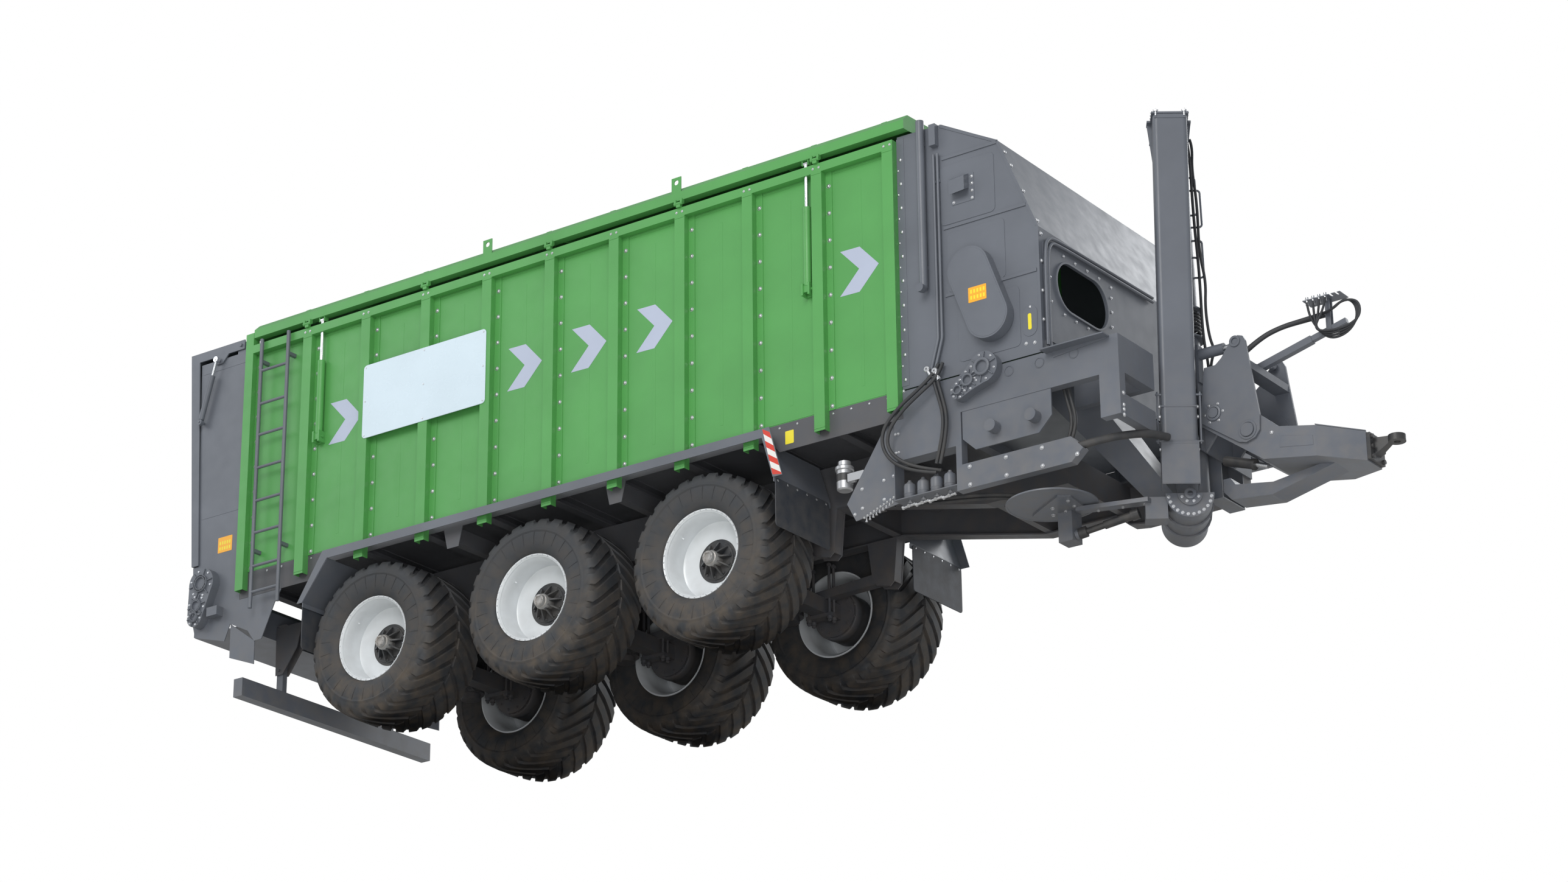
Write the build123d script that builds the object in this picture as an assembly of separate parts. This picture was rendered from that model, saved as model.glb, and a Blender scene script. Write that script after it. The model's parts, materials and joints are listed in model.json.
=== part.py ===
"""Triple-axle grain transfer wagon: body with two roof lids, front hopper, folding unloading auger.

Millimetres. +X runs forward to the towing eye, +Y to the left, +Z up, and the tyres stand on Z = 0.
Stations along X are counted from the rear axle while modelling. export() moves every node by
-MID_X, so the finished part has its origin on the ground below the middle of its length.
"""
from build123d import *
import math
import os

# ---------------------------------------------------------------- driving dimensions
EYE_X = 8750                    # centre of the towing eye
EYE_R = 65
REAR_X = -2255                  # back edge of the tailgate's top
MID_X = (EYE_X + EYE_R + REAR_X) / 2
HALF_WIDTH = 1320               # mudguard lips

AXLE_X = {"rear": 0, "middle": 1690, "front": 3380}
HUB_Z = 680
TRACK_Y = 915                   # tyre centre

RIB_PITCH = 672
RIB_X = [-862 + RIB_PITCH * k for k in range(10)]   # the last one is the front post
RIB_W = 100
REAR_POST = (-1543, -1453)
SKIN_Y = 1210                   # outer face of the side sheets
SHEET = 6
PLATE = 8
RIB_Y = 1275                    # outer face of ribs and top rail
RIB_FOOT_Z = 1400
SILL_Z = (1344, 1570)
FLOOR_Z = (1544, 1552)
RAIL_Z = (3585, 3660)
HOPPER_X = (5290, 6530)

LID_X = (-1449, 5395)
LID_HINGE = (-1287, 3693)       # y, z of the right lid's hinge axis
KNUCKLE_R = 14
HINGE_PIN_R = 8
FIT = 0.06                      # radial running clearance of pins and shafts
LID_ROD_X = (-660, 4456)
LID_ROD_Y = 1250
LID_ROD_R = 17

TAIL_PIVOT = (-1650, 3730)
TAIL_PIN_R = 15
TAIL_CYL_FOOT = (-2068, 3087)
TAIL_CYL_EYE = (-1907, 3644)

RAIL_Y = (360, 480)             # chassis rails
RAIL_UNDER = 1095               # underside of the chassis rails over the axles
ARM_L = 600                     # trailing arm pivot ahead of its axle
ARM_Z = 800
ARM_Y = (375, 465)

TOW_PIVOT = (7446, 1147)        # drawbar pivot, x and z
TOW_PIN_R = 40
TOWER_Y = (300, 320)

COLUMN = (7275, -560, 550)      # foot of the folded unloading tube, middle of its outer face
COLUMN_TURN = 33                # its face looks forward and to the right
COLUMN_LEAN = 1.2
TUBE_TOP = 3570 - COLUMN[2]
FOLD_V = 262                    # fold hinge behind the outer face
FOLD_Z = TUBE_TOP + 16
LIFT_TOP_U = 15                 # top of the lift tube, behind the folded tube
LIFT_V = 410
LIFT_LEAN = 1.97                # its foot stands further to the right
BOOT = (7260, -410, 525)        # axis of the boot at its front plate
BOOT_LENGTH = 660


# ---------------------------------------------------------------- helpers
def block(x0, x1, y0, y1, z0, z1):
    """Axis-aligned box between two corners."""
    return Pos((x0 + x1) / 2, (y0 + y1) / 2, (z0 + z1) / 2) * Box(abs(x1 - x0), abs(y1 - y0), abs(z1 - z0))


def side_face(points, y=0):
    """Face in the XZ plane from (x, z) corners."""
    return Face(Wire.make_polygon([(x, y, z) for x, z in points], close=True))


def side_plate(points, y0, y1):
    """(x, z) outline extruded between two Y stations."""
    return extrude(side_face(points, min(y0, y1)), amount=abs(y1 - y0), dir=(0, 1, 0))


def section(points, x0, x1):
    """(y, z) outline extruded between two X stations."""
    face = Face(Wire.make_polygon([(x0, y, z) for y, z in points], close=True))
    return extrude(face, amount=x1 - x0, dir=(1, 0, 0))


def plan(points, z0, z1):
    """(x, y) outline extruded between two heights."""
    face = Face(Wire.make_polygon([(x, y, z0) for x, y in points], close=True))
    return extrude(face, amount=z1 - z0, dir=(0, 0, 1))


def bar(p0, p1, radius):
    """Round bar between two points."""
    start, end = Vector(*p0), Vector(*p1)
    run = end - start
    return Solid.make_cylinder(radius, run.length, Plane(origin=start, z_dir=run.normalized()))


def pipe(p0, p1, outer, inner):
    """Round tube between two points."""
    return bar(p0, p1, outer) - bar(p0, p1, inner)


def bent_bar(points, radius, bend):
    """Round bar along straight runs joined by tangent arcs."""
    path = FilletPolyline(*points, radius=bend)
    start = Vector(*points[0])
    run = Vector(*points[1]) - start
    return sweep(Plane(origin=start, z_dir=run.normalized()) * Circle(radius), path=path)


def channel(points, y0, y1, web_y0, web_y1, flange=12):
    """Channel beam: (x, z) outline between y0 and y1, hollowed except for its web."""
    outline = side_face(points, min(y0, y1))
    pocket = offset(outline, amount=-flange)
    body = extrude(outline, amount=abs(y1 - y0), dir=(0, 1, 0))
    hollow = extrude(pocket, amount=abs(y1 - y0), dir=(0, 1, 0))
    web = block(-9000, 9000, web_y0, web_y1, -100, 5000)
    return body - (hollow - web)


def ring_body(points):
    """Solid of revolution about the Y axis from (radius, y) corners."""
    face = Face(Wire.make_polygon([(r, y, 0) for r, y in points], close=True))
    return revolve(face, Axis.Y, 360)


def weld(parts):
    """One solid from parts that touch or overlap."""
    return parts[0] + parts[1:]


def both_sides(shape):
    """The shape and its mirror image across the centre plane."""
    return [shape, mirror(shape, about=Plane.XZ)]


def group(parts):
    """Separate solids kept in one node."""
    solids = []
    for part in parts:
        solids.extend(part.solids())
    return Compound(children=solids)


def export(name, shape):
    os.makedirs("parts", exist_ok=True)
    export_step(Pos(-MID_X, 0, 0) * shape, f"parts/{name}.step")


# ---------------------------------------------------------------- body
def side_wall():
    """Right side wall: sheet, box ribs with bolting flanges, posts and hollow top rail."""
    x0, x1 = REAR_POST[0], RIB_X[-1] + RIB_W
    parts = [block(x0, x1, -SKIN_Y, -SKIN_Y + SHEET, SILL_Z[1], RAIL_Z[0])]
    lefts = [REAR_POST[0]] + RIB_X
    for left in lefts:
        width = RIB_W if left != REAR_POST[0] else REAR_POST[1] - REAR_POST[0]
        rib = block(left, left + width, -RIB_Y, -SKIN_Y, RIB_FOOT_Z, RAIL_Z[0])
        inner = block(left + SHEET, left + width - SHEET, -RIB_Y + SHEET, -SKIN_Y, RIB_FOOT_Z - 1, RAIL_Z[0])
        parts.append(rib - inner)
        if left != RIB_X[-1]:
            edge = left + width
            parts.append(block(edge, edge + 60, -SKIN_Y - SHEET, -SKIN_Y, SILL_Z[1], RAIL_Z[0]))
    rail = block(x0, x1, -RIB_Y, -1195, *RAIL_Z)
    rail -= block(x0 + 5, x1 - 5, -RIB_Y + 5, -1200, RAIL_Z[0] + 5, RAIL_Z[1] - 5)
    parts.append(rail)
    parts.append(block(REAR_POST[0], REAR_POST[1], -RIB_Y, -1200, RAIL_Z[1], 3780))
    for left in RIB_X[::2]:
        middle = left + 50
        leg = block(middle - 20, middle + 20, -1295, -1262, RAIL_Z[1], LID_HINGE[1])
        parts.append(leg + bar((middle - 20, *LID_HINGE), (middle + 20, *LID_HINGE), KNUCKLE_R))
    wall = weld(parts)
    for left in RIB_X[::2]:
        middle = left + 50
        wall -= bar((middle - 21, *LID_HINGE), (middle + 21, *LID_HINGE), HINGE_PIN_R + FIT)
    for x in LID_ROD_X:
        wall -= bar((x, -LID_ROD_Y, 3500), (x, -LID_ROD_Y, 3700), LID_ROD_R + 2)
    return wall


def wall_bolts():
    """Dome-head bolts on the rib flanges and on the hopper's flange."""
    head_r, head_h = 14, 10
    heads = []
    for left in [REAR_POST[0] - 10] + RIB_X[:-1]:
        for step in range(9):
            z = 1600 + 233 * step
            x = left + RIB_W + 30
            heads.append(bar((x, -SKIN_Y - SHEET, z), (x, -SKIN_Y - SHEET - head_h, z), head_r))
    for step in range(10):
        z = 1650 + 205 * step
        heads.append(bar((HOPPER_X[0] + 30, -SKIN_Y, z), (HOPPER_X[0] + 30, -SKIN_Y - head_h, z), head_r))
    left_heads = [mirror(head, about=Plane.XZ) for head in heads]
    return group(heads + left_heads)


def floor_frame():
    """Sills, cross members, floor sheet and side brackets between the wheels."""
    sill_outline = [(-1543, SILL_Z[0]), (-560, SILL_Z[0]), (-460, 1460), (4040, 1460),
                    (4140, SILL_Z[0]), (5290, SILL_Z[0]), (5290, SILL_Z[1]), (-1543, SILL_Z[1])]
    parts = both_sides(side_plate(sill_outline, -SKIN_Y, -SKIN_Y + PLATE))
    inside = SKIN_Y - PLATE
    for left in [REAR_POST[0]] + RIB_X:
        x = left + 10
        cross = [(x, 1460), (x + 80, 1460), (x + 80, 1468), (x + 8, 1468),
                 (x + 8, 1536), (x + 80, 1536), (x + 80, FLOOR_Z[0]), (x, FLOOR_Z[0])]
        parts.append(side_plate(cross, -inside, inside))
    parts.append(block(-1535, 5290, -inside, inside, *FLOOR_Z))
    for x in (845, 2535):
        hanger = side_plate([(x - 100, 1460), (x + 100, 1460), (x + 60, 1290), (x - 60, 1290)],
                            -SKIN_Y, -inside)
        arm = block(x - 40, x + 40, -inside, -RAIL_Y[1], 1330, 1460)
        arm -= block(x - 32, x + 32, -inside, -RAIL_Y[1], 1338, 1460)
        parts += both_sides(hanger + arm)
    return weld(parts)


def rear_housing():
    """Fixed rear section: side panels with stiffeners, lower drive housing and bottom pan."""
    inside = SKIN_Y - PLATE
    upper = side_plate([(-2135, 3660), (-1700, 3660), (-1700, 3760), (-1600, 3760),
                        (-1545, 3700), (-1545, 1748), (-2055, 1748)], -SKIN_Y, -inside)
    lower = side_plate([(-2115, 1748), (-1545, 1748), (-1545, 1342), (-1060, 1342), (-1131, 1231),
                        (-1267, 936), (-1350, 932), (-1430, 1040), (-1640, 1143), (-1700, 1000),
                        (-2050, 1100), (-2079, 1201)], -SKIN_Y, -inside)
    stiffener_high = side_plate([(-2110, 3560), (-1545, 3560), (-1545, 3600), (-2110, 3600)],
                                -SKIN_Y, -SKIN_Y - 2)
    stiffener_low = side_plate([(-2040, 2180), (-1545, 2180), (-1545, 2220), (-2040, 2220)],
                               -SKIN_Y, -SKIN_Y - 2)
    skirt = side_plate([(-1640, 1143), (-1637, 839), (-1351, 728), (-1351, 935)], -inside, -inside + PLATE)
    pivot = bar((TAIL_PIVOT[0], -SKIN_Y, TAIL_PIVOT[1]), (TAIL_PIVOT[0], -1240, TAIL_PIVOT[1]), TAIL_PIN_R)
    parts = []
    parts += both_sides(upper + lower + stiffener_high + stiffener_low + skirt + pivot)
    parts.append(block(-2060, -1552, -inside, inside, 1100, 1108))
    parts.append(block(-2070, -1990, -inside, inside, 1108, 1200))
    parts.append(block(-1560, -1552, -inside, inside, 1108, 1342))
    parts.append(bar((-1975, -inside, 1500), (-1975, inside, 1500), 70))
    return weld(parts)


def lid_sheet_section():
    """(y, z) section of the right roof lid: rolled outer lip and rising sheet."""
    return [(-1275, 3727), (-1275, 3804), (-1215, 3862), (-8, 3925), (-8, 3920), (-1213, 3857),
            (-1270, 3802), (-1270, 3732), (-1200, 3732), (-1200, 3727)]


def roof_lid():
    """Right roof lid with end caps, inner bows, hinge knuckles, lifting tabs and cylinder ears."""
    parts = [section(lid_sheet_section(), *LID_X)]
    bow = [(-1271, 3731), (-1271, 3803), (-1213, 3858), (-8, 3921), (-8, 3885), (-1180, 3731)]
    stations = [LID_X[0], *[LID_X[0] + 1139 * n for n in range(1, 6)], LID_X[1] - 5]
    parts += [section(bow, x, x + 5) for x in stations]
    for left in RIB_X[::2]:
        middle = left + 50
        for side in (-1, 1):
            near, far = middle + side * 21, middle + side * 41
            leg = block(min(near, far), max(near, far), -1297, -1262, LID_HINGE[1], 3728)
            parts.append(leg)
            parts.append(bar((near, *LID_HINGE), (far, *LID_HINGE), KNUCKLE_R))
        parts.append(bar((middle - 30, *LID_HINGE), (middle + 30, *LID_HINGE), HINGE_PIN_R))
    for x0 in (1155, 3140):
        tab = block(x0, x0 + 95, -1275, -1267, 3790, 3940)
        parts.append(tab - bar((x0 + 47.5, -1276, 3895), (x0 + 47.5, -1266, 3895), 22))
    for x in LID_ROD_X:
        for side in (-1, 1):
            near, far = x + side * 24, x + side * 32
            parts.append(block(min(near, far), max(near, far), -1268, -1218, 3684, 3728))
    return weld(parts)


def lid_rods():
    """Two lid cylinder rods with cross eyes."""
    rods = []
    for x in LID_ROD_X:
        rod = bar((x, -LID_ROD_Y, 2900), (x, -LID_ROD_Y, 3700), LID_ROD_R)
        rods.append(rod + bar((x - 20, -LID_ROD_Y, 3700), (x + 20, -LID_ROD_Y, 3700), 18))
    return group(rods)


def lid_barrels():
    """Four lid cylinder barrels with their foot brackets on the wall."""
    barrels = []
    for x in LID_ROD_X:
        tube = bar((x, -LID_ROD_Y, 2640), (x, -LID_ROD_Y, 3318), 33)
        tube += bar((x, -LID_ROD_Y, 3270), (x, -LID_ROD_Y, 3318), 33.5)
        tube += block(x - 22, x + 22, -1280, -1228, 2585, 2645)
        cheek = block(x - 40, x - 22, -1290, -SKIN_Y, 2560, 2660)
        cheek += block(x + 22, x + 40, -1290, -SKIN_Y, 2560, 2660)
        cheek += block(x - 40, x + 40, -1226, -SKIN_Y, 2560, 2660)
        pin = bar((x - 50, -1255, 2612), (x + 50, -1255, 2612), 12)
        barrel = tube + cheek + pin
        barrel -= bar((x, -LID_ROD_Y, 2860), (x, -LID_ROD_Y, 3330), LID_ROD_R + FIT)
        barrels += both_sides(barrel)
    return group(barrels)


def ladder():
    """Round-rail ladder standing off the rear bay."""
    x_left, x_right, rail_y = -1325, -1012, -1302
    parts = [bar((x, rail_y, 1195), (x, rail_y, 3675), 17) for x in (x_left, x_right)]
    for z in (3375, 3063, 2774, 2467, 2164, 1872, 1568, 1335):
        parts.append(bar((x_left, rail_y, z), (x_right, rail_y, z), 13))
    for x in (x_left, x_right):
        for z in (3450, 1700):
            parts.append(block(x - 15, x + 15, rail_y, -SKIN_Y, z, z + 30))
    return weld(parts)


def sign_panel():
    """Blank rectangular board with rounded corners on three ribs."""
    board = block(-137, 1213, -1283, -RIB_Y, 2458, 3126)
    return fillet(board.edges().filter_by(Axis.Y), 35)


# ---------------------------------------------------------------- tailgate
def tail_point(y, point):
    return (point[0], y, point[1])


def tailgate():
    """Slanted rear door with side arms that hang it from the top pivots."""
    arm_outline = [(REAR_X, 3775), (-1610, 3775), (-1610, 3690), (-1800, 3690), (-1870, 3615),
                   (-1945, 3615), (-1975, 3690), (-2150, 3690), (-2040, 1755), (-2120, 1755)]
    arm = side_plate(arm_outline, -1226, -1214)
    arm -= bar(tail_point(-1230, TAIL_PIVOT), tail_point(-1200, TAIL_PIVOT), TAIL_PIN_R + FIT)
    parts = both_sides(arm)
    parts.append(side_plate([(REAR_X, 3775), (-2120, 1755), (-2108, 1755), (-2243, 3767)], -1214, 1214))
    parts.append(side_plate([(REAR_X, 3775), (-1690, 3775), (-1690, 3767), (-2254, 3767)], -1214, 1214))
    for z in (3300, 2750, 2200):
        x = -2115 - 0.0668 * (z - 1755)
        parts.append(block(x - 8, x + 30, -1214, 1214, z, z + 60))
    return weld(parts)


def tail_axis(distance, y=-1262):
    """Point on the tailgate cylinder's line, counted from its foot pin."""
    run = Vector(TAIL_CYL_EYE[0] - TAIL_CYL_FOOT[0], 0, TAIL_CYL_EYE[1] - TAIL_CYL_FOOT[1]).normalized()
    start = Vector(TAIL_CYL_FOOT[0], y, TAIL_CYL_FOOT[1])
    point = start + run * distance
    return (point.X, point.Y, point.Z)


def tail_barrels():
    barrel = bar(tail_axis(24), tail_axis(430), 25)
    barrel += bar(tail_point(-1280, TAIL_CYL_FOOT), tail_point(-1244, TAIL_CYL_FOOT), 28)
    barrel -= bar(tail_axis(60), tail_axis(440), 12 + FIT)
    pin = bar(tail_point(-1286, TAIL_CYL_FOOT), tail_point(-SKIN_Y, TAIL_CYL_FOOT), 10)
    return both_sides(barrel + pin)


def tail_rods():
    rod = bar(tail_axis(90), tail_axis(560), 12)
    eye = bar(tail_point(-1280, TAIL_CYL_EYE), tail_point(-1244, TAIL_CYL_EYE), 26)
    pin = bar(tail_point(-1286, TAIL_CYL_EYE), tail_point(-1229, TAIL_CYL_EYE), 10)
    return group(both_sides(rod + eye + pin))


# ---------------------------------------------------------------- front hopper
def front_hopper():
    """Bolted hopper: two side plates, a bent front with an oval window, and a bottom plate."""
    x0, x1 = HOPPER_X
    inside = SKIN_Y - PLATE
    outline = [(x0, SILL_Z[1] + 5), (x0, 3700), (5700, 3690), (6200, 3410), (x1, 2600), (x1, SILL_Z[1] + 5)]
    side = side_plate(outline, -SKIN_Y, -inside)
    side += block(5616, 5673, -1262, -SKIN_Y, 3510, 3690)
    for z, x_end in ((3380, 6205), (2790, 6445), (2230, 6520)):
        side += block(5700, x_end - 10, -SKIN_Y - 8, -SKIN_Y, z, z + 26)
    side -= bar((6045, -SKIN_Y - 10, 2150), (6045, -inside + 1, 2150), 30 + FIT)
    right, left = both_sides(side)
    bend = [(x0 + 60, 3698), (5700, 3689), (6200, 3409), (x1, 2600), (x1, SILL_Z[1] + 5),
            (x1 - 8, SILL_Z[1] + 5), (x1 - 8, 2598), (6194, 3403), (5698, 3681), (x0 + 60, 3690)]
    front = side_plate(bend, -inside, inside)
    window = section([(-980 + 195, 2030), (-240 - 195, 2030), (-240 - 195, 2420), (-980 + 195, 2420)],
                     x1 - 40, x1 + 40)
    for y in (-785, -435):
        window += bar((x1 - 40, y, 2225), (x1 + 40, y, 2225), 195)
    front += block(x1, x1 + 6, -1150, -90, 1700, 2490)
    front -= window
    bottom = block(x0, x1 - 8, -inside, inside, 1560, 1568)
    bottom -= block(6100, 6480, -560, -80, 1559, 1569)
    lip = block(x0, x0 + 8, -inside, inside, FLOOR_Z[1], 1560)
    return group([right, left, front, bottom + lip])


def dosing_roller():
    """Toothed roller behind the oval window."""
    axis_x, axis_z, half = 6045, 2150, 1195
    roller = bar((axis_x, -half + 5, axis_z), (axis_x, half - 5, axis_z), 110)
    roller += bar((axis_x, -1300, axis_z), (axis_x, 1230, axis_z), 30)
    for row in range(6):
        for turn in range(4):
            angle = math.radians(90 * turn + 45 * (row % 2))
            y = -1000 + 400 * row
            tip = (axis_x + 185 * math.cos(angle), y, axis_z + 185 * math.sin(angle))
            roller += bar((axis_x, y, axis_z), tip, 14)
    return roller


def chain_case():
    """Stadium-shaped drive cover on the right side, open towards the wall."""
    high, low, radius = (5965, 2365), (6120, 1940), 180
    def stadium(r, y0, y1):
        shape = bar((high[0], y0, high[1]), (high[0], y1, high[1]), r)
        shape += bar((low[0], y0, low[1]), (low[0], y1, low[1]), r)
        run = Vector(low[0] - high[0], 0, low[1] - high[1]).normalized() * r
        across = Vector(-run.Z, 0, run.X)
        corners = [(high[0] + across.X, high[1] + across.Z), (low[0] + across.X, low[1] + across.Z),
                   (low[0] - across.X, low[1] - across.Z), (high[0] - across.X, high[1] - across.Z)]
        return shape + side_plate(corners, y0, y1)
    cover = stadium(radius, -1312, -SKIN_Y - 8)
    return cover - stadium(radius - 6, -1306, -SKIN_Y - 8)


def cast_case(circles, y_face, y_back, ribs):
    """Cast gearbox: chain of round lobes with ring bosses on its outer face."""
    case = None
    for (xa, za, ra), (xb, zb, rb) in zip(circles, circles[1:]):
        run = Vector(xb - xa, 0, zb - za).normalized()
        across = Vector(-run.Z, 0, run.X)
        corners = [(xa + across.X * ra, za + across.Z * ra), (xb + across.X * rb, zb + across.Z * rb),
                   (xb - across.X * rb, zb - across.Z * rb), (xa - across.X * ra, za - across.Z * ra)]
        link = side_plate(corners, y_face, y_back)
        case = link if case is None else case + link
    for x, z, r in circles:
        case += bar((x, y_face, z), (x, y_back, z), r)
        case += bar((x, y_face - ribs, z), (x, y_face, z), r * 0.55)
        case -= bar((x, y_face - ribs - 1, z), (x, y_face - 2, z), r * 0.38)
    return case


def front_gearbox():
    return cast_case([(6055, 1545, 125), (5925, 1470, 90), (5835, 1410, 70)], -1290, -SKIN_Y, 22)


def rear_gearbox():
    case = cast_case([(-1925, 1545, 140), (-1965, 1350, 105), (-1985, 1250, 85)], -1296, -SKIN_Y, 20)
    return case + block(-1850, -1730, -1290, -SKIN_Y, 1230, 1310)


def hydraulic_pipes():
    """Overflow pipe with an elbow and two slim steel pipes on the hopper's right side."""
    big = bent_bar([(5530, -1251, 3750), (5530, -1251, 2325), (5530, -1315, 2325)], 33, 35)
    parts = [big + block(5510, 5550, -1220, -SKIN_Y, 3550, 3580)
             + block(5510, 5550, -1220, -SKIN_Y, 2500, 2530)]
    for x in (5636, 5672):
        slim = bent_bar([(x, -1232, 3440), (x, -1232, 1900), (x - 70, -1232, 1660)], 11, 120)
        parts.append(slim + block(x - 14, x + 14, -1226, -SKIN_Y, 3200, 3220))
    return group(parts)


# ---------------------------------------------------------------- chassis
RAIL_LEFT = [(-1500, 1360), (4290, 1360), (5560, 1085), (6500, 1085), (6900, 930), (7300, 930),
             (7300, 771), (7245, 723), (6420, 709), (6300, 725), (6190, 817), (5548, 817),
             (4234, RAIL_UNDER), (-1350, RAIL_UNDER), (-1500, 1200)]
RAIL_RIGHT = [(-1500, 1360), (4290, 1360), (5560, 1085), (6240, 1085), (6270, 1060), (6270, 817),
              (5548, 817), (4234, RAIL_UNDER), (-1350, RAIL_UNDER), (-1500, 1200)]


def chassis_frame():
    """Two curved channel rails with spacers, cross members, axle hangers and bumper brackets."""
    y0, y1 = RAIL_Y
    parts = [channel(RAIL_LEFT, y0, y1, y1 - 8, y1), channel(RAIL_RIGHT, -y1, -y0, -y1, -y1 + 8)]
    for sign in (-1, 1):
        parts.append(block(-1500, 4280, sign * (y0 + 20), sign * (y1 - 20), 1360, 1460))
        parts.append(side_plate([(4260, 1362), (4260, 1458), (5280, 1458), (5280, 1440), (4700, 1300),
                                 (4500, 1270)], sign * (y1 - 12), sign * (y1 - 22)))
    for x in (-1480, -300, 845, 2535, 4130):
        parts.append(block(x, x + 10, -y1 + 8, y1 - 8, 1110, 1350))
        parts.append(block(x, x + 70, -y1 + 8, y1 - 8, 1110, 1118))
    for x in (5600, 6250):
        parts.append(block(x, x + 10, -y1 + 8, y1 - 8, 829, 1073))
        parts.append(block(x - 48, x + 1, -y1 + 8, y1 - 8, 829, 837))
    for x in AXLE_X.values():
        px = x + ARM_L
        for sign in (-1, 1):
            for near in (362, 468):
                outline = [(px - 100, RAIL_UNDER + 1), (px + 185, RAIL_UNDER + 1), (px + 150, 740),
                           (px + 110, 705), (px - 20, 735), (px - 60, 800)]
                parts.append(side_plate(outline, sign * near, sign * (near + 10)))
            parts.append(bar((px, sign * 362, ARM_Z), (px, sign * 478, ARM_Z), 20))
            parts.append(side_plate([(px + 170, RAIL_UNDER + 1), (px + 180, RAIL_UNDER + 1), (px + 148, 742),
                                     (px + 138, 742)], sign * 370, sign * 470))
    parts.append(block(-1500, -1400, -770, -y1 + 1, 1205, 1213))
    parts.append(block(-1500, -1400, y1 - 1, 770, 1205, 1213))
    bracket = [(-1550, 1213), (-1250, 1213), (-1300, 1000), (-1460, 780), (-1540, 780)]
    for sign in (-1, 1):
        for near in (650, 725):
            parts.append(side_plate(bracket, sign * near, sign * (near + 8)))
        parts.append(bar((-1500, sign * 640, 820), (-1500, sign * 745, 820), 12))
    return weld(parts)


def underrun_bumper():
    """Rear underrun bar on two swinging arms."""
    beam = section([(-1200, 470), (-1200, 630), (1200, 630), (1200, 470)], -1560, -1460)
    beam -= section([(-1190, 478), (-1190, 622), (1190, 622), (1190, 478)], -1552, -1468)
    parts = [beam]
    for sign in (-1, 1):
        parts.append(block(-1535, -1465, sign * 665, sign * 718, 629, 860))
        parts.append(side_plate([(-1560, 470), (-1560, 630), (-1460, 630), (-1460, 470)],
                                sign * 1200, sign * 1212))
    bumper = weld(parts)
    for sign in (-1, 1):
        bumper -= bar((-1500, sign * 650, 820), (-1500, sign * 735, 820), 12 + FIT)
    return bumper


def front_subframe():
    """Side beams above the chassis; on the right also hang plate, lower box, valve trays and posts."""
    parts = []
    inside = SKIN_Y - PLATE
    beam = [(5750, 1270), (7170, 1270), (7170, 1559), (5750, 1559)]
    for sign in (-1, 1):
        web_edges = sorted((sign * SKIN_Y, sign * inside))
        side = channel(beam, sign * SKIN_Y, sign * (SKIN_Y - 80), *web_edges, flange=8)
        side += side_plate([(5290, 1559), (5752, 1559), (5752, 1271), (5290, 1271)],
                           sign * SKIN_Y, sign * inside)
        parts.append(side)
    parts.append(right_subframe(-SKIN_Y, -inside))
    for y0, y1 in ((-inside, -700), (300, inside)):
        parts.append(block(7090, 7170, y0, y1, 1270, 1559) - block(7090, 7162, y0 + 8, y1 - 8, 1278, 1551))
    parts.append(block(7090, 7170, -inside, -700, 930, 1100) - block(7090, 7162, -inside, -708, 938, 1092))
    for y0, y1 in ((-760, -700), (700, 760)):
        parts.append(block(6522, 7092, y0, y1, 1270, 1559) - block(6522, 7092, y0 + 8, y1 - 8, 1278, 1551))
    parts.append(block(5754, 5834, -1131, 479, 1085, 1165) - block(5762, 5826, -1131, 471, 1093, 1157))
    return weld(parts)


def right_subframe(out, inner):
    """Shelf, posts, lower box, hang plate with two pins, side sheet, accumulator and valve trays."""
    deep = -1130
    side = block(6560, 7100, out, -1305, 1545, 1555)
    side += side_plate([(6620, 1545), (7080, 1545), (7080, 1538), (6620, 1500)], out, -1216)
    side += block(5750, 5800, out, deep, 650, 1270)
    side -= block(5758, 5792, inner, deep, 658, 1262)
    side += block(7000, 7170, out, deep, 930, 1270)
    side -= block(7010, 7160, inner, deep, 938, 1262)
    lower = [(5800, 650), (6740, 650), (6840, 740), (6740, 850), (5800, 850)]
    side += channel(lower, out, deep, out, inner, flange=8)
    hang = [(5810, 1271), (6585, 1271), (6585, 1060), (6470, 945), (5920, 945), (5810, 1050)]
    side += side_plate(hang, -1206, -1194)
    for x in (6100, 6450):
        side += bar((x, -1294, 1070), (x, -1190, 1070), 48)
    side += side_plate([(5290, 1559), (5752, 1559), (5752, 1010), (5200, 1010), (5200, 1342), (5290, 1342)],
                       out, inner)
    side += block(5191, 5799, out, -1080, 700, 708)
    side += block(5191, 5199, out, -1080, 700, 1011)
    side += block(5200, 5752, inner, -1080, 1010, 1018)
    side += side_plate([(4720, 800), (4800, 645), (5195, 700), (5195, 1015), (5200, 1342), (5080, 1342)],
                       -1150, -1142)
    return side


def mudguards():
    """Lip angle over three wheels with sloping end sheets, each side."""
    lip = section([(-1320, 1450), (-1320, 1525), (-RIB_Y, 1525), (-RIB_Y, 1519), (-1314, 1519),
                   (-1314, 1450)], -450, 4050)
    rear_lip = side_plate([(-450, 1525), (-450, 1450), (-650, 1190), (-712, 1110), (-770, 1110),
                           (-500, 1525)],
                          -1320, -1314)
    rear_sheet = side_plate([(-450, 1456), (-712, 1116), (-712, 1104), (-444, 1450)], -1316, -560)
    front_lip = side_plate([(4050, 1525), (4050, 1450), (4150, 1104), (4240, 1104), (4120, 1525)],
                           -1320, -1314)
    front_sheet = side_plate([(4060, 1430), (4160, 1112), (4160, 1100), (4056, 1426)], -1316, -560)
    hem = block(-712, -704, -1314, -560, 1070, 1108) + block(4152, 4160, -1314, -560, 1070, 1108)
    return group(both_sides(weld([lip, rear_lip, rear_sheet, front_lip, front_sheet, hem])))


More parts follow.
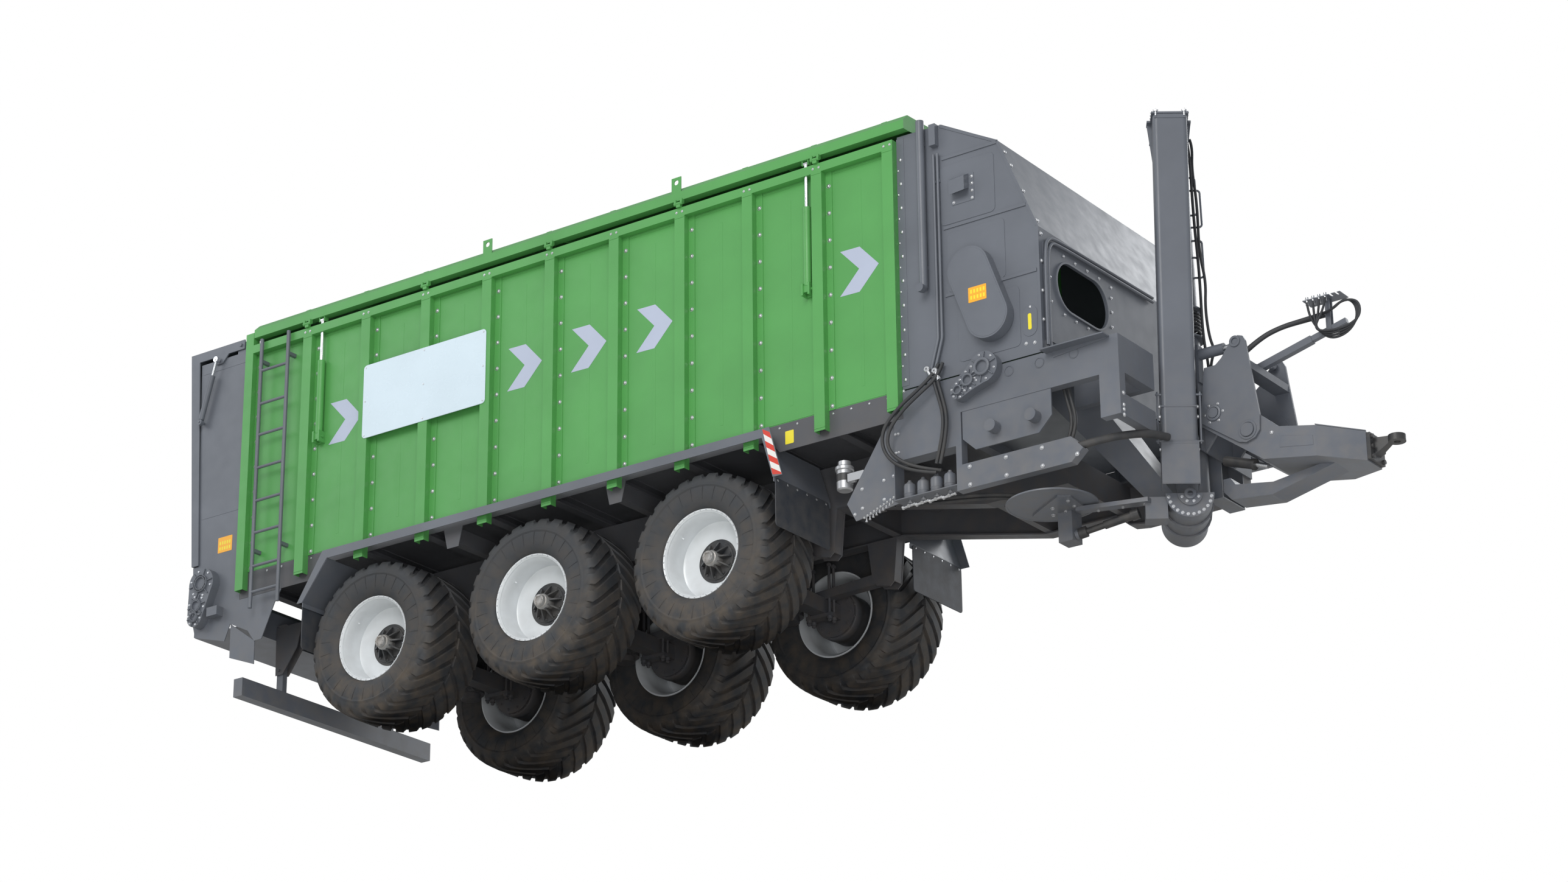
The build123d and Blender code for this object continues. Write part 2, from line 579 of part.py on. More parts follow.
def mud_flaps():
    flaps = []
    for x in (-720, 4160):
        flaps += both_sides(block(x, x + 8, -1305, -585, 712, 1104))
    return group(flaps)


# ---------------------------------------------------------------- running gear
def axle(x):
    """Axle beam with spindles, back plates, trailing arms, clamp bolts and spring cups."""
    parts = [block(-65, 65, -600, 600, 615, 745) - block(-55, 55, -590, 590, 625, 735)]
    for sign in (-1, 1):
        parts.append(bar((0, sign * 598, HUB_Z), (0, sign * 950, HUB_Z), 45))
        parts.append(bar((0, sign * 600, HUB_Z), (0, sign * 612, HUB_Z), 195))
        y_in, y_out = sign * ARM_Y[0], sign * ARM_Y[1]
        outline = [(ARM_L, ARM_Z + 45), (ARM_L, ARM_Z - 45), (200, 744), (-400, 700), (-430, 745), (-100, 800)]
        arm = side_plate(outline, y_in, y_out)
        arm += bar((ARM_L, y_in, ARM_Z), (ARM_L, y_out, ARM_Z), 58)
        arm += block(-125, 125, y_in, y_out, 585, 616)
        for px in (-100, 100):
            for py in (ARM_Y[0] + 13, ARM_Y[1] - 13):
                arm += bar((px, sign * py, 540), (px, sign * py, 1040), 12)
                arm += bar((px, sign * py, 560), (px, sign * py, 586), 22)
        arm += bar((-320, sign * 420, 664), (-320, sign * 420, 735), 118)
        arm += bar((-320, sign * 420, 618), (-320, sign * 420, 665), 84)
        arm -= bar((ARM_L, y_in, ARM_Z), (ARM_L, y_out, ARM_Z), 20 + FIT)
        arm -= bar((-320, sign * 420, 735), (-320, sign * 420, 900), 110)
        parts.append(arm)
    return Pos(x, 0, 0) * weld(parts)


def air_springs(x):
    """Pair of rolling-lobe air springs between arm and chassis rail."""
    bellows = bar((x - 320, -420, 735), (x - 320, -420, 930), 78)
    bellows += bar((x - 320, -420, 860), (x - 320, -420, 1075), 106)
    bellows += bar((x - 320, -420, 1075), (x - 320, -420, RAIL_UNDER), 60)
    return group(both_sides(bellows))


def wheel_rim(x, sign):
    """Deep steel rim, finned hub with end cap, and brake drum."""
    rim = ring_body([(362, 1218), (362, 1208), (340, 1204), (332, 1170), (326, 1100), (326, 740),
                     (332, 660), (340, 626), (362, 622), (362, 612), (352, 612), (318, 668),
                     (318, 1094), (324, 1172), (352, 1212), (354, 1218)])
    rim += ring_body([(319, 988), (319, 1000), (240, 1002), (178, 985), (120, 985), (120, 973),
                      (180, 973), (243, 988)])
    hub = ring_body([(0, 957), (45 + FIT, 957), (45 + FIT, 848), (190, 848), (190, 622), (205, 622),
                     (205, 860), (100, 860), (100, 973), (119, 973), (119, 985), (160, 985), (160, 1003),
                     (62, 1003), (62, 1095), (50, 1100), (50, 1128), (44, 1132), (28, 1132), (28, 1118),
                     (0, 1118)])
    fin = Face(Wire.make_polygon([(58, 1002, 0), (150, 1002, 0), (58, 1072, 0)], close=True))
    fin = Pos(0, 0, -6) * extrude(fin, amount=12, dir=(0, 0, 1))
    hub = weld([hub] + [Rot(0, 36 * n, 0) * fin for n in range(10)])
    wheel = group([rim, hub])
    if sign < 0:
        wheel = mirror(wheel, about=Plane.XZ)
    return Pos(x, 0, HUB_Z) * wheel


def tyre(x, sign):
    """Flotation tyre carcass, open towards the rim."""
    outer = [(334, 662), (343, 630), (364, 627), (372, 600), (430, 575), (500, 565), (560, 572),
             (630, 592), (668, 640), (680, 760), (680, 1070), (668, 1190), (630, 1238), (560, 1258),
             (500, 1265), (430, 1255), (372, 1230), (364, 1203), (343, 1200), (334, 1168)]
    inner = [(352, 1165), (380, 1195), (430, 1228), (500, 1238), (560, 1230), (615, 1205), (640, 1150),
             (640, 680), (615, 625), (560, 600), (500, 592), (430, 602), (380, 635), (352, 665)]
    body = Rot(0, 15, 0) * ring_body(outer + inner)
    if sign < 0:
        body = mirror(body, about=Plane.XZ)
    return Pos(x, 0, HUB_Z) * body


# ---------------------------------------------------------------- drawbar
def drawbar_mount():
    """Fixed pillar, cross plate, pivot lugs and upper cylinder posts for the drawbar."""
    parts = [block(7170, 7300, 20, 360, 620, 1450) - block(7180, 7300, 30, 350, 630, 1440)]
    parts.append(block(7300, 7312, -290, 480, 900, 1450))
    for sign in (-1, 1):
        parts.append(side_plate([(7311, 900), (7311, 1400), (7420, 1280), (7500, 1180), (7500, 1110),
                                 (7440, 1060)], sign * 200, sign * 225))
        parts.append(bar((TOW_PIVOT[0], sign * 190, TOW_PIVOT[1]), (TOW_PIVOT[0], sign * 336, TOW_PIVOT[1]),
                         TOW_PIN_R))
        parts.append(block(7300, 7324, sign * 215, sign * 285, 1440, 1740))
    return weld(parts)


def drawbar_beam():
    """Tower plates, side plates, box nose and lower strut of the drawbar."""
    tower_outline = [(7330, 1096), (7384, 1523), (7480, 1524), (7534, 1568), (7600, 1660), (7640, 1703),
                     (7680, 1714), (7720, 1700), (7740, 1660), (7760, 1500), (7822, 1050), (7815, 931),
                     (7775, 880), (7700, 857), (7636, 875)]
    side_outline = [(7330, 1070), (7820, 702), (8250, 627), (8250, 865), (7959, 925), (7807, 1061),
                    (7700, 1250), (7400, 1300), (7330, 1200)]
    parts = []
    for sign in (-1, 1):
        plate = side_plate(tower_outline, sign * TOWER_Y[0], sign * TOWER_Y[1])
        plate += side_plate(side_outline, sign * 286, sign * TOWER_Y[0])
        plate += bar((7716, sign * 286, 950), (7716, sign * 334, 950), 52)
        plate -= bar(tow_pin(sign * 280), tow_pin(sign * 340), TOW_PIN_R + FIT)
        parts.append(plate)
    parts.append(side_plate([(7640, 838), (7820, 702), (8250, 627), (8250, 639), (7824, 714), (7648, 848)],
                            -287, 287))
    parts.append(side_plate([(7807, 1061), (7959, 925), (8250, 865), (8250, 853), (7954, 914), (7799, 1052)],
                            -287, 287))
    nose_side = [(8250, 627), (8560, 574), (8560, 800), (8250, 865)]
    nose_plan = [(8250, -300), (8560, -115), (8560, 115), (8250, 300)]
    nose = side_plate(nose_side, -300, 300) & plan(nose_plan, 500, 900)
    inner_side = [(8249, 639), (8548, 588), (8548, 790), (8249, 853)]
    inner_plan = [(8249, -286), (8548, -104), (8548, 104), (8249, 286)]
    nose -= side_plate(inner_side, -300, 300) & plan(inner_plan, 500, 900)
    parts.append(nose)
    strut = [(7380, 700), (7380, 600), (7440, 530), (7778, 494), (8300, 619), (8180, 641), (7790, 590),
             (7480, 640), (7440, 700)]
    parts.append(channel(strut, -110, 110, -110, -100, flange=10))
    parts.append(block(7640, 7760, -301, 301, 1440, 1500) - block(7648, 7752, -301, 301, 1448, 1492))
    for sign in (-1, 1):
        parts.append(bar((7655, sign * 276, 1670), (7655, sign * 301, 1670), 24))
    return weld(parts)


def tow_pin(y):
    return (TOW_PIVOT[0], y, TOW_PIVOT[1])


def towing_eye():
    """Bolted flange, tapered neck and ring."""
    flange = block(8560, 8590, -112, 112, 586, 790)
    neck = loft([Plane(origin=(8589, 0, 700), x_dir=(0, 1, 0), z_dir=(1, 0, 0)) * Rectangle(90, 130),
                 Plane(origin=(EYE_X - 50, 0, 734), x_dir=(0, 1, 0), z_dir=(1, 0, 0)) * Rectangle(62, 50)])
    ring = bar((EYE_X, 0, 709), (EYE_X, 0, 759), EYE_R)
    eye = weld([flange, neck, ring])
    for y in (-85, 85):
        for z in (612, 688, 764):
            eye += bar((8590, y, z), (8606, y, z), 17)
    return eye - bar((EYE_X, 0, 700), (EYE_X, 0, 770), 25)


def suspension_barrels():
    tube = pipe((7352, -250, 1670), (7530, -250, 1670), 42, 22 + FIT)
    tube += bar((7324, -250, 1670), (7356, -250, 1670), 42)
    return both_sides(tube)


def suspension_rods():
    rod = bar((7420, -250, 1670), (7640, -250, 1670), 22)
    rod += bar((7655, -270, 1670), (7655, -230, 1670), 32)
    return group(both_sides(rod))


def hose_arm():
    """Telescopic hose carrier with a notched coupling plate."""
    axis_z = 1545
    rise = math.degrees(math.atan2(200, 766))
    outer = Pos(7650, 0, axis_z) * Rot(0, -rise, 0) * block(0, 500, -27, 27, -27, 27)
    inner = Pos(7650, 0, axis_z) * Rot(0, -rise, 0) * block(499, 800, -21, 21, -21, 21)
    foot = block(7650, 7700, -40, 40, 1500, 1560)
    post = block(8262, 8302, -24, -16, 1700, 1955) + block(8262, 8302, 16, 24, 1700, 1955)
    comb = block(8110, 8420, -80, 60, 1955, 1961)
    for n in range(6):
        x = 8136 + 50 * n
        comb -= block(x - 9, x + 9, -81, -35, 1954, 1962)
        comb -= bar((x, -35, 1954), (x, -35, 1962), 9)
    return weld([outer, inner, foot, post, comb])


def hydraulic_hoses():
    """Thick hose bundle over the arm and two coupled loops at the coupling plate."""
    bundle = bent_bar([(7620, -130, 1640), (7740, -100, 1745), (7900, -50, 1812), (8080, 0, 1838),
                       (8240, 0, 1858)], 27, 250)
    loop_a = bent_bar([(8186, -58, 1950), (8180, -62, 1820), (8230, -70, 1640), (8400, -90, 1580),
                       (8560, -100, 1660), (8570, -105, 1800), (8460, -100, 1880), (8300, -95, 1880)], 9, 55)
    loop_b = bent_bar([(8236, -58, 1950), (8232, -80, 1800), (8290, -120, 1680), (8420, -135, 1640),
                       (8520, -140, 1720), (8530, -140, 1830), (8440, -135, 1900), (8320, -128, 1900)], 9, 50)
    return group([bundle, loop_a, loop_b])


# ---------------------------------------------------------------- unloading auger
def column_place(shape):
    """Move a shape from the auger's local frame (across, inwards, up) to the wagon."""
    return Pos(*COLUMN) * Rot(0, 0, COLUMN_TURN) * Rot(0, COLUMN_LEAN, 0) * shape


def screw(length, shaft_r, flight_r, pitch):
    """Vertical screw: core tube and one helical flight."""
    core = Pos(0, 0, length / 2) * Cylinder(shaft_r, length)
    turns = length - 2 * pitch * 0.3
    path = Helix(pitch=pitch, height=turns, radius=shaft_r)
    width = flight_r - shaft_r + 4
    middle = shaft_r - 4 + width / 2
    profile = Plane(origin=(middle, 0, 0), x_dir=(1, 0, 0), z_dir=(0, 1, 0)) * Rectangle(width, 8)
    flight = Pos(0, 0, pitch * 0.3) * sweep(profile, path=path, is_frenet=True)
    return core + flight


def unloading_tube():
    """Folded rectangular auger casing with its top flange, stiffeners and hinge knuckles."""
    foot = 330
    tube = block(-130, 130, 0, 240, foot, TUBE_TOP)
    tube = fillet(tube.edges().filter_by(Axis.Z), 34)
    inner = block(-125, 125, 5, 235, foot - 1, TUBE_TOP + 1)
    inner = fillet(inner.edges().filter_by(Axis.Z), 29)
    flange = block(-142, 142, -10, 150, TUBE_TOP, TUBE_TOP + 15)
    flange += block(-168, 168, 149, 242, TUBE_TOP, TUBE_TOP + 15)
    parts = [tube - inner, flange - Pos(0, 120, TUBE_TOP) * Cylinder(105, 60)]
    for side in (-1, 1):
        near, far = sorted((side * 42, side * 75))
        parts.append(block(near, far, 235, FOLD_V, TUBE_TOP, TUBE_TOP + 15))
        parts.append(bar((near, FOLD_V, FOLD_Z), (far, FOLD_V, FOLD_Z), 18))
        stiffener = side_plate([(side * 129, TUBE_TOP - 320), (side * 129, TUBE_TOP + 1),
                                (side * 168, TUBE_TOP + 1)], 198, 206)
        parts.append(stiffener)
        parts.append(bar((side * 129, 110, 380), (side * 140, 110, 380), 10))
    for z in (foot + 40, TUBE_TOP - 60):
        parts.append(block(-126, 126, 105, 135, z, z + 16))
    tube = weld(parts)
    tube -= bar((-80, FOLD_V, FOLD_Z), (80, FOLD_V, FOLD_Z), 10 + FIT)
    for z in (foot + 40, TUBE_TOP - 60):
        tube -= bar((0, 120, z - 1), (0, 120, z + 17), 24 + FIT)
    return column_place(tube)


def discharge_spout():
    """Three-sided apron that swings on the lower end of the unloading tube."""
    parts = [block(-139, 139, -17, -11, 0, 332)]
    for side in (-1, 1):
        cheek = block(side * 133, side * 139, -17, 130, 0, 410)
        cheek -= block(side * 132, side * 140, -18, 60, 333, 411)
        parts.append(cheek)
    spout = weld(parts)
    for side in (-1, 1):
        spout -= bar((side * 131, 110, 380), (side * 141, 110, 380), 10 + FIT)
    return column_place(spout)


def lift_lean(shape):
    """Move a shape on the lift tube's own axis to the auger's local frame."""
    return Pos(LIFT_TOP_U, LIFT_V, TUBE_TOP) * Rot(0, -LIFT_LEAN, 0) * Pos(0, 0, -TUBE_TOP) * shape


def lift_tube():
    """Standing lift tube with an inspection gap, top flange, hinge pin and grab rails."""
    gap0, gap1 = 1310, 1530
    parts = [pipe((0, 0, -40), (0, 0, gap0), 125, 118), pipe((0, 0, gap1), (0, 0, TUBE_TOP + 20), 125, 118)]
    for z in (gap0 - 12, gap1):
        parts.append(pipe((0, 0, z), (0, 0, z + 12), 162, 118))
    for angle in (60, 130, 200):
        a = math.radians(angle)
        cu, cv = 150 * math.cos(a), 150 * math.sin(a)
        parts.append(bar((cu, cv, gap0 - 6), (cu, cv, gap1 + 6), 8))
    for z_top, z_low, off, reach in ((3180, 2863, -80, 165), (3090, 2780, -40, 200), (2668, 2360, -40, 190),
                                     (2510, 2057, -80, 150)):
        a, b = z_top - COLUMN[2], z_low - COLUMN[2]
        root = math.sqrt(125 ** 2 - off ** 2) - 4
        parts.append(bent_bar([(root, off, a), (reach, off, a), (reach, off, b), (root, off, b)], 8, 26))
    bearing = block(-119, 119, -14, 14, TUBE_TOP - 60, TUBE_TOP - 44)
    parts.append(bearing - bar((0, 0, TUBE_TOP - 61), (0, 0, TUBE_TOP - 43), 30 + FIT))
    tube = lift_lean(weld(parts)) - block(-400, 400, 0, 900, TUBE_TOP, TUBE_TOP + 300)
    top = [block(-130, 160, 284, 556, TUBE_TOP, TUBE_TOP + 15)
           - bar((LIFT_TOP_U, LIFT_V, TUBE_TOP - 1), (LIFT_TOP_U, LIFT_V, TUBE_TOP + 16), 121)]
    top.append(block(-40, 40, FOLD_V, 290, TUBE_TOP, TUBE_TOP + 15))
    top.append(bar((-40, FOLD_V, FOLD_Z), (40, FOLD_V, FOLD_Z), 18))
    top.append(bar((-75, FOLD_V, FOLD_Z), (75, FOLD_V, FOLD_Z), 10))
    whole = column_place(weld([tube] + top))
    return whole - block(6800, 7600, -700, 400, 0, BOOT[2] + 8)


def lift_screw():
    shape = Pos(0, 0, 20) * screw(TUBE_TOP - 40, 30, 108, 230)
    return column_place(lift_lean(shape))


def unloading_screw():
    shape = Pos(0, 120, 350) * screw(TUBE_TOP - 360, 24, 100, 220)
    return column_place(shape)


def boot_place(shape):
    """Move a shape from the boot's frame (across, inwards, up from its axis) to the wagon."""
    return Pos(*BOOT) * Rot(0, 0, COLUMN_TURN) * shape


def auger_boot():
    """Half-round trough under the lift tube with a bolted end plate and an input housing."""
    radius = 175
    trough = bar((0, 8, 0), (0, BOOT_LENGTH, 0), radius) - bar((0, 7, 0), (0, BOOT_LENGTH + 1, 0), radius - 8)
    trough -= block(-300, 300, 0, 900, 0, 300)
    end = bar((0, 0, 0), (0, 9, 0), radius + 3) - block(-300, 300, -1, 20, 8, 300)
    far = bar((0, BOOT_LENGTH - 1, 0), (0, BOOT_LENGTH + 8, 0), radius)
    far -= block(-300, 300, BOOT_LENGTH - 10, BOOT_LENGTH + 20, 8, 300)
    cover = block(-radius, radius, 0, BOOT_LENGTH + 8, 0, 8)
    hub = bar((0, -14, 0), (0, 0, 0), 92) - block(-200, 200, -60, 60, 1, 200)
    housing = block(-330, -165, 20, 160, -180, -10)
    boot = boot_place(weld([trough, end, far, cover, hub, housing]))
    boot -= column_place(lift_lean(bar((0, 0, -80), (0, 0, 20), 118.5)))
    return boot - block(6855, 7045, -58, 122, 500, 560)


def feed_chute():
    """Sheet chute from the hopper's bottom opening down to the boot."""
    def duct(grow):
        low = Plane(origin=(6950, 32, 533), x_dir=(1, 0, 0), z_dir=(0, 0, 1))
        high = Plane(origin=(6290, -320, 1560), x_dir=(1, 0, 0), z_dir=(0, 0, 1))
        low *= Rectangle(190 + grow, 180 + grow)
        high *= Rectangle(360 + grow, 460 + grow)
        return loft([low, high])
    return duct(12) - duct(0)


SHAFT_START = (6440, -630, 330)
SHAFT_END = (6896, -533, 420)


def shaft_point(distance):
    start, end = Vector(*SHAFT_START), Vector(*SHAFT_END)
    return tuple(start + (end - start).normalized() * distance)


def pto_shaft():
    """Telescopic drive shaft with two joints between the angle drive and the boot."""
    length = (Vector(*SHAFT_END) - Vector(*SHAFT_START)).length
    shaft = bar(shaft_point(60), shaft_point(length - 60), 24)
    shaft += bar(shaft_point(200), shaft_point(length - 60), 32)
    for d in (0, length - 60):
        shaft += bar(shaft_point(d), shaft_point(d + 60), 42)
    return shaft


def drive_disc():
    """Round guard disc with its angle drive, carried by an arm from the boot."""
    parts = [bar((6340, -840, 515), (6340, -840, 525), 345)]
    parts.append(plan([(6120, -760), (6480, -1000), (6560, -940), (6520, -640), (6420, -560),
                       (6240, -560)], 502, 515))
    parts.append(block(6300, 6420, -700, -560, 270, 504))
    parts.append(bar(shaft_point(-28), shaft_point(-2), 40))
    parts.append(plan([(6480, -740), (7010, -600), (7010, -500), (6480, -660)], 470, 503))
    disc = weld(parts)
    return disc - boot_place(block(-330, 200, 20, 160, -180, -10) + block(-200, 200, -20, 300, -200, 20))


def accumulators():
    parts = []
    for x in (5290, 5410, 5530, 5650):
        bottle = bar((x, -1145, 708), (x, -1145, 830), 46)
        parts.append(bottle + bar((x, -1145, 830), (x, -1145, 856), 22))
    return group(parts)


def hydraulic_filter():
    can = bar((4659, -1085, 942), (4659, -1085, 1110), 62)
    can += bar((4659, -1085, 1100), (4659, -1085, 1130), 72)
    can += bar((4659, -1085, 1130), (4659, -1085, 1178), 50)
    return can + block(4700, 4870, -1141, -1060, 985, 1040)


# ---------------------------------------------------------------- build
def build():
    right_wall = side_wall()
    export("right_side_wall", right_wall)
    export("left_side_wall", mirror(right_wall, about=Plane.XZ))
    export("wall_bolts", wall_bolts())
    export("floor_frame", floor_frame())
    export("rear_housing", rear_housing())
    lid = roof_lid()
    export("right_roof_lid", lid)
    export("left_roof_lid", mirror(lid, about=Plane.XZ))
    rods = lid_rods()
    export("right_lid_rods", rods)
    export("left_lid_rods", mirror(rods, about=Plane.XZ))
    export("lid_cylinder_barrels", lid_barrels())
    export("ladder", ladder())
    export("sign_panel", sign_panel())
    export("tailgate", tailgate())
    export("tailgate_rods", tail_rods())
    export("grey_cylinder_barrels", group(tail_barrels() + suspension_barrels()))
    export("front_hopper", front_hopper())
    export("dosing_roller", dosing_roller())
    export("chain_case", chain_case())
    export("front_gearbox", front_gearbox())
    export("rear_gearbox", rear_gearbox())
    export("hydraulic_pipes", hydraulic_pipes())
    export("chassis_frame", chassis_frame())
    export("underrun_bumper", underrun_bumper())
    export("front_subframe", front_subframe())
    export("mudguards", mudguards())
    export("mud_flaps", mud_flaps())
    for place, x in AXLE_X.items():
        export(f"{place}_axle", axle(x))
        export(f"{place}_air_springs", air_springs(x))
        for side, sign in (("right", -1), ("left", 1)):
            export(f"{place}_{side}_rim", wheel_rim(x, sign))
            export(f"{place}_{side}_tyre", tyre(x, sign))
    export("drawbar_mount", drawbar_mount())
    export("drawbar_beam", drawbar_beam())
    export("towing_eye", towing_eye())
    export("suspension_rods", suspension_rods())
    export("hose_arm", hose_arm())
    export("hydraulic_hoses", hydraulic_hoses())
    export("unloading_tube", unloading_tube())
    export("discharge_spout", discharge_spout())
    export("lift_tube", lift_tube())
    export("lift_screw", lift_screw())
    export("unloading_screw", unloading_screw())
    export("auger_boot", group([auger_boot(), feed_chute()]))
    export("pto_shaft", pto_shaft())
    export("drive_disc", drive_disc())
    export("accumulators", accumulators())
    export("hydraulic_filter", hydraulic_filter())


build()
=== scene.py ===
"""Grain transfer wagon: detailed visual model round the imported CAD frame.

Lengths inside the builders are station millimetres (X from the rear axle, Y to the left, Z up);
TO_ROW turns them into the row frame's metres.
"""
import json
import math

import bmesh
import bpy
from mathutils import Matrix, Vector

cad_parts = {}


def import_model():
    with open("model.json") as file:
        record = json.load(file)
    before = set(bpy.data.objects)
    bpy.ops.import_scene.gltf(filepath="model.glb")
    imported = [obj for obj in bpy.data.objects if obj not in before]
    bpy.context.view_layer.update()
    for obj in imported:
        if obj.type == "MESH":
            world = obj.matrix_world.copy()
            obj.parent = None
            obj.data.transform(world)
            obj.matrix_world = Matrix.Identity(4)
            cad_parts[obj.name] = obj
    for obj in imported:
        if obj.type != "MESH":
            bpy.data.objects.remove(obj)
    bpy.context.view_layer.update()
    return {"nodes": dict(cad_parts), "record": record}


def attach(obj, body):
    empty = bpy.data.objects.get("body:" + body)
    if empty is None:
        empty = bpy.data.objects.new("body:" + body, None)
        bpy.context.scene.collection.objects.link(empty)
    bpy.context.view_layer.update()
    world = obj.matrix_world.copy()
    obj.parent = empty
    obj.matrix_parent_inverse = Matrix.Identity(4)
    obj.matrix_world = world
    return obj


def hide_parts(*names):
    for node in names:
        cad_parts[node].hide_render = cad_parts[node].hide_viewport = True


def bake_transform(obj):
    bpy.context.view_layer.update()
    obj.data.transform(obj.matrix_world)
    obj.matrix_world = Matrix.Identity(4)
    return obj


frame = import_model()
NODES = frame["nodes"]

MID_X = 3280
TO_ROW = Matrix.Translation((-MID_X / 1000, 0, 0)) @ Matrix.Scale(0.001, 4)
AXLES = {"rear": 0, "middle": 1690, "front": 3380}
HUB_Z = 680
TRACK_Y = 915
SKIN_Y = 1210
RIB_Y = 1275
RIBS = [-862 + 672 * k for k in range(10)]
REAR_POST_X = -1543
COLUMN = (Matrix.Translation((7275, -560, 550)) @ Matrix.Rotation(math.radians(33), 4, "Z")
          @ Matrix.Rotation(math.radians(1.2), 4, "Y"))
BOOT = Matrix.Translation((7260, -410, 525)) @ Matrix.Rotation(math.radians(33), 4, "Z")
LIFT = COLUMN @ Matrix.Translation((15, 410, 3020)) @ Matrix.Rotation(math.radians(-1.97), 4, "Y") \
    @ Matrix.Translation((0, 0, -3020))
WINDOW_RIGHT, WINDOW_LEFT, WINDOW_RADIUS = (-785, 2225), (-435, 2225), 194
CHAIN_HIGH, CHAIN_LOW = (5965, 2365), (6120, 1940)
FRONT_CASE = ((6055, 1545, 125), (5925, 1470, 90), (5835, 1410, 70))
REAR_CASE = ((-1925, 1545, 140), (-1965, 1350, 105), (-1985, 1250, 85))
BOTTLES_X = (5290, 5410, 5530, 5650)
LENS, SENSOR = 83.67, 36
CAMERA_PLACE = (16.012, -22.495, -8.969)
CAMERA_AZIMUTH, CAMERA_ELEVATION, CAMERA_ROLL = (math.radians(a) for a in (35.369, -21.715, -0.629))
FLOOR_HALF = 60


# Materials
class Finish:
    """A material under construction, with short ways to add its nodes."""

    def __init__(self, name):
        self.material = bpy.data.materials.new(name)
        self.material.use_nodes = True
        self.nodes = self.material.node_tree.nodes
        self.links = self.material.node_tree.links
        self.shader = self.nodes["Principled BSDF"]
        self.coord = self.nodes.new("ShaderNodeTexCoord").outputs["Object"]

    def noise(self, scale, detail=4.0, stretch=None):
        node = self.nodes.new("ShaderNodeTexNoise")
        node.inputs["Scale"].default_value = scale
        node.inputs["Detail"].default_value = detail
        source = self.coord
        if stretch:
            mapping = self.nodes.new("ShaderNodeMapping")
            mapping.inputs["Scale"].default_value = stretch
            self.links.new(source, mapping.inputs["Vector"])
            source = mapping.outputs["Vector"]
        self.links.new(source, node.inputs["Vector"])
        return node.outputs["Fac"]

    def spread(self, value, low, high, out_low=0.0, out_high=1.0):
        node = self.nodes.new("ShaderNodeMapRange")
        node.inputs["From Min"].default_value = low
        node.inputs["From Max"].default_value = high
        node.inputs["To Min"].default_value = out_low
        node.inputs["To Max"].default_value = out_high
        self.links.new(value, node.inputs["Value"])
        return node.outputs["Result"]

    def times(self, a, b):
        node = self.nodes.new("ShaderNodeMath")
        node.operation = "MULTIPLY"
        for socket, value in zip(node.inputs, (a, b)):
            if isinstance(value, float):
                socket.default_value = value
            else:
                self.links.new(value, socket)
        return node.outputs["Value"]

    def mix(self, share, a, b):
        node = self.nodes.new("ShaderNodeMix")
        node.data_type = "RGBA"
        self.links.new(share, node.inputs["Factor"])
        for socket, value in ((node.inputs["A"], a), (node.inputs["B"], b)):
            if isinstance(value, tuple):
                socket.default_value = (*value, 1.0)
            else:
                self.links.new(value, socket)
        return node.outputs["Result"]

    def height(self):
        node = self.nodes.new("ShaderNodeSeparateXYZ")
        self.links.new(self.coord, node.inputs["Vector"])
        return node.outputs["Z"]

    def bump(self, value, distance, strength=0.5):
        node = self.nodes.new("ShaderNodeBump")
        node.inputs["Strength"].default_value = strength
        node.inputs["Distance"].default_value = distance
        self.links.new(value, node.inputs["Height"])
        self.links.new(node.outputs["Normal"], self.shader.inputs["Normal"])


def finish(name, color, rough, metal=0.0, coat=0.0, dust=(0.24, 0.21, 0.17), dusty=0.25, tone=0.12,
           grain=260.0, relief=0.0004, stretch=None, low_dust=1.2):
    """Painted, plated or moulded surface: tonal patches, road dust low down, fine grain and bump."""
    f = Finish(name)
    cloud = f.noise(1.7, 6.0)
    patches = f.noise(9.0, 5.0)
    fine = f.noise(grain, 3.0, stretch)
    dark = tuple(c * (1 - tone) for c in color)
    light = tuple(min(1.0, c * (1 + tone)) for c in color)
    tinted = f.mix(f.spread(cloud, 0.3, 0.7), dark, light)
    near_ground = f.spread(f.height(), low_dust + 0.5, 0.1)
    film = f.times(f.times(near_ground, f.spread(patches, 0.35, 0.75)), dusty)
    speckle = f.times(f.spread(fine, 0.62, 0.78), dusty * 0.35)
    dusted = f.mix(film, tinted, dust)
    f.links.new(f.mix(speckle, dusted, dust), f.shader.inputs["Base Color"])
    f.links.new(f.spread(patches, 0.2, 0.8, rough - 0.07, rough + 0.1), f.shader.inputs["Roughness"])
    f.shader.inputs["Metallic"].default_value = metal
    f.shader.inputs["Coat Weight"].default_value = coat
    f.shader.inputs["Coat Roughness"].default_value = 0.25
    f.bump(fine, relief)
    return f.material


GREEN = finish("green_paint", (0.085, 0.330, 0.082), 0.45, coat=0.10, dusty=0.22, tone=0.07)
GREY = finish("grey_paint", (0.122, 0.134, 0.158), 0.42, coat=0.10, dusty=0.40, tone=0.10)
FRAME_GREY = finish("frame_grey", (0.085, 0.088, 0.098), 0.48, dust=(0.17, 0.125, 0.085), dusty=0.55)
ZINC = finish("zinc_plate", (0.66, 0.67, 0.69), 0.30, metal=0.9, dusty=0.15, grain=420.0)
SIGN = finish("sign_enamel", (0.60, 0.72, 0.80), 0.24, coat=0.4, dusty=0.06, tone=0.03)
CHEVRON = finish("pale_vinyl", (0.45, 0.50, 0.63), 0.38, dusty=0.08, tone=0.05)
RUBBER = finish("hose_rubber", (0.030, 0.032, 0.036), 0.55, dusty=0.3, grain=500.0)
FLAP = finish("flap_rubber", (0.040, 0.046, 0.058), 0.58, dusty=0.35, grain=700.0)
TYRE = finish("tyre_rubber", (0.034, 0.037, 0.042), 0.62, dust=(0.13, 0.10, 0.07), dusty=0.75,
              grain=320.0, relief=0.0008, low_dust=0.9)
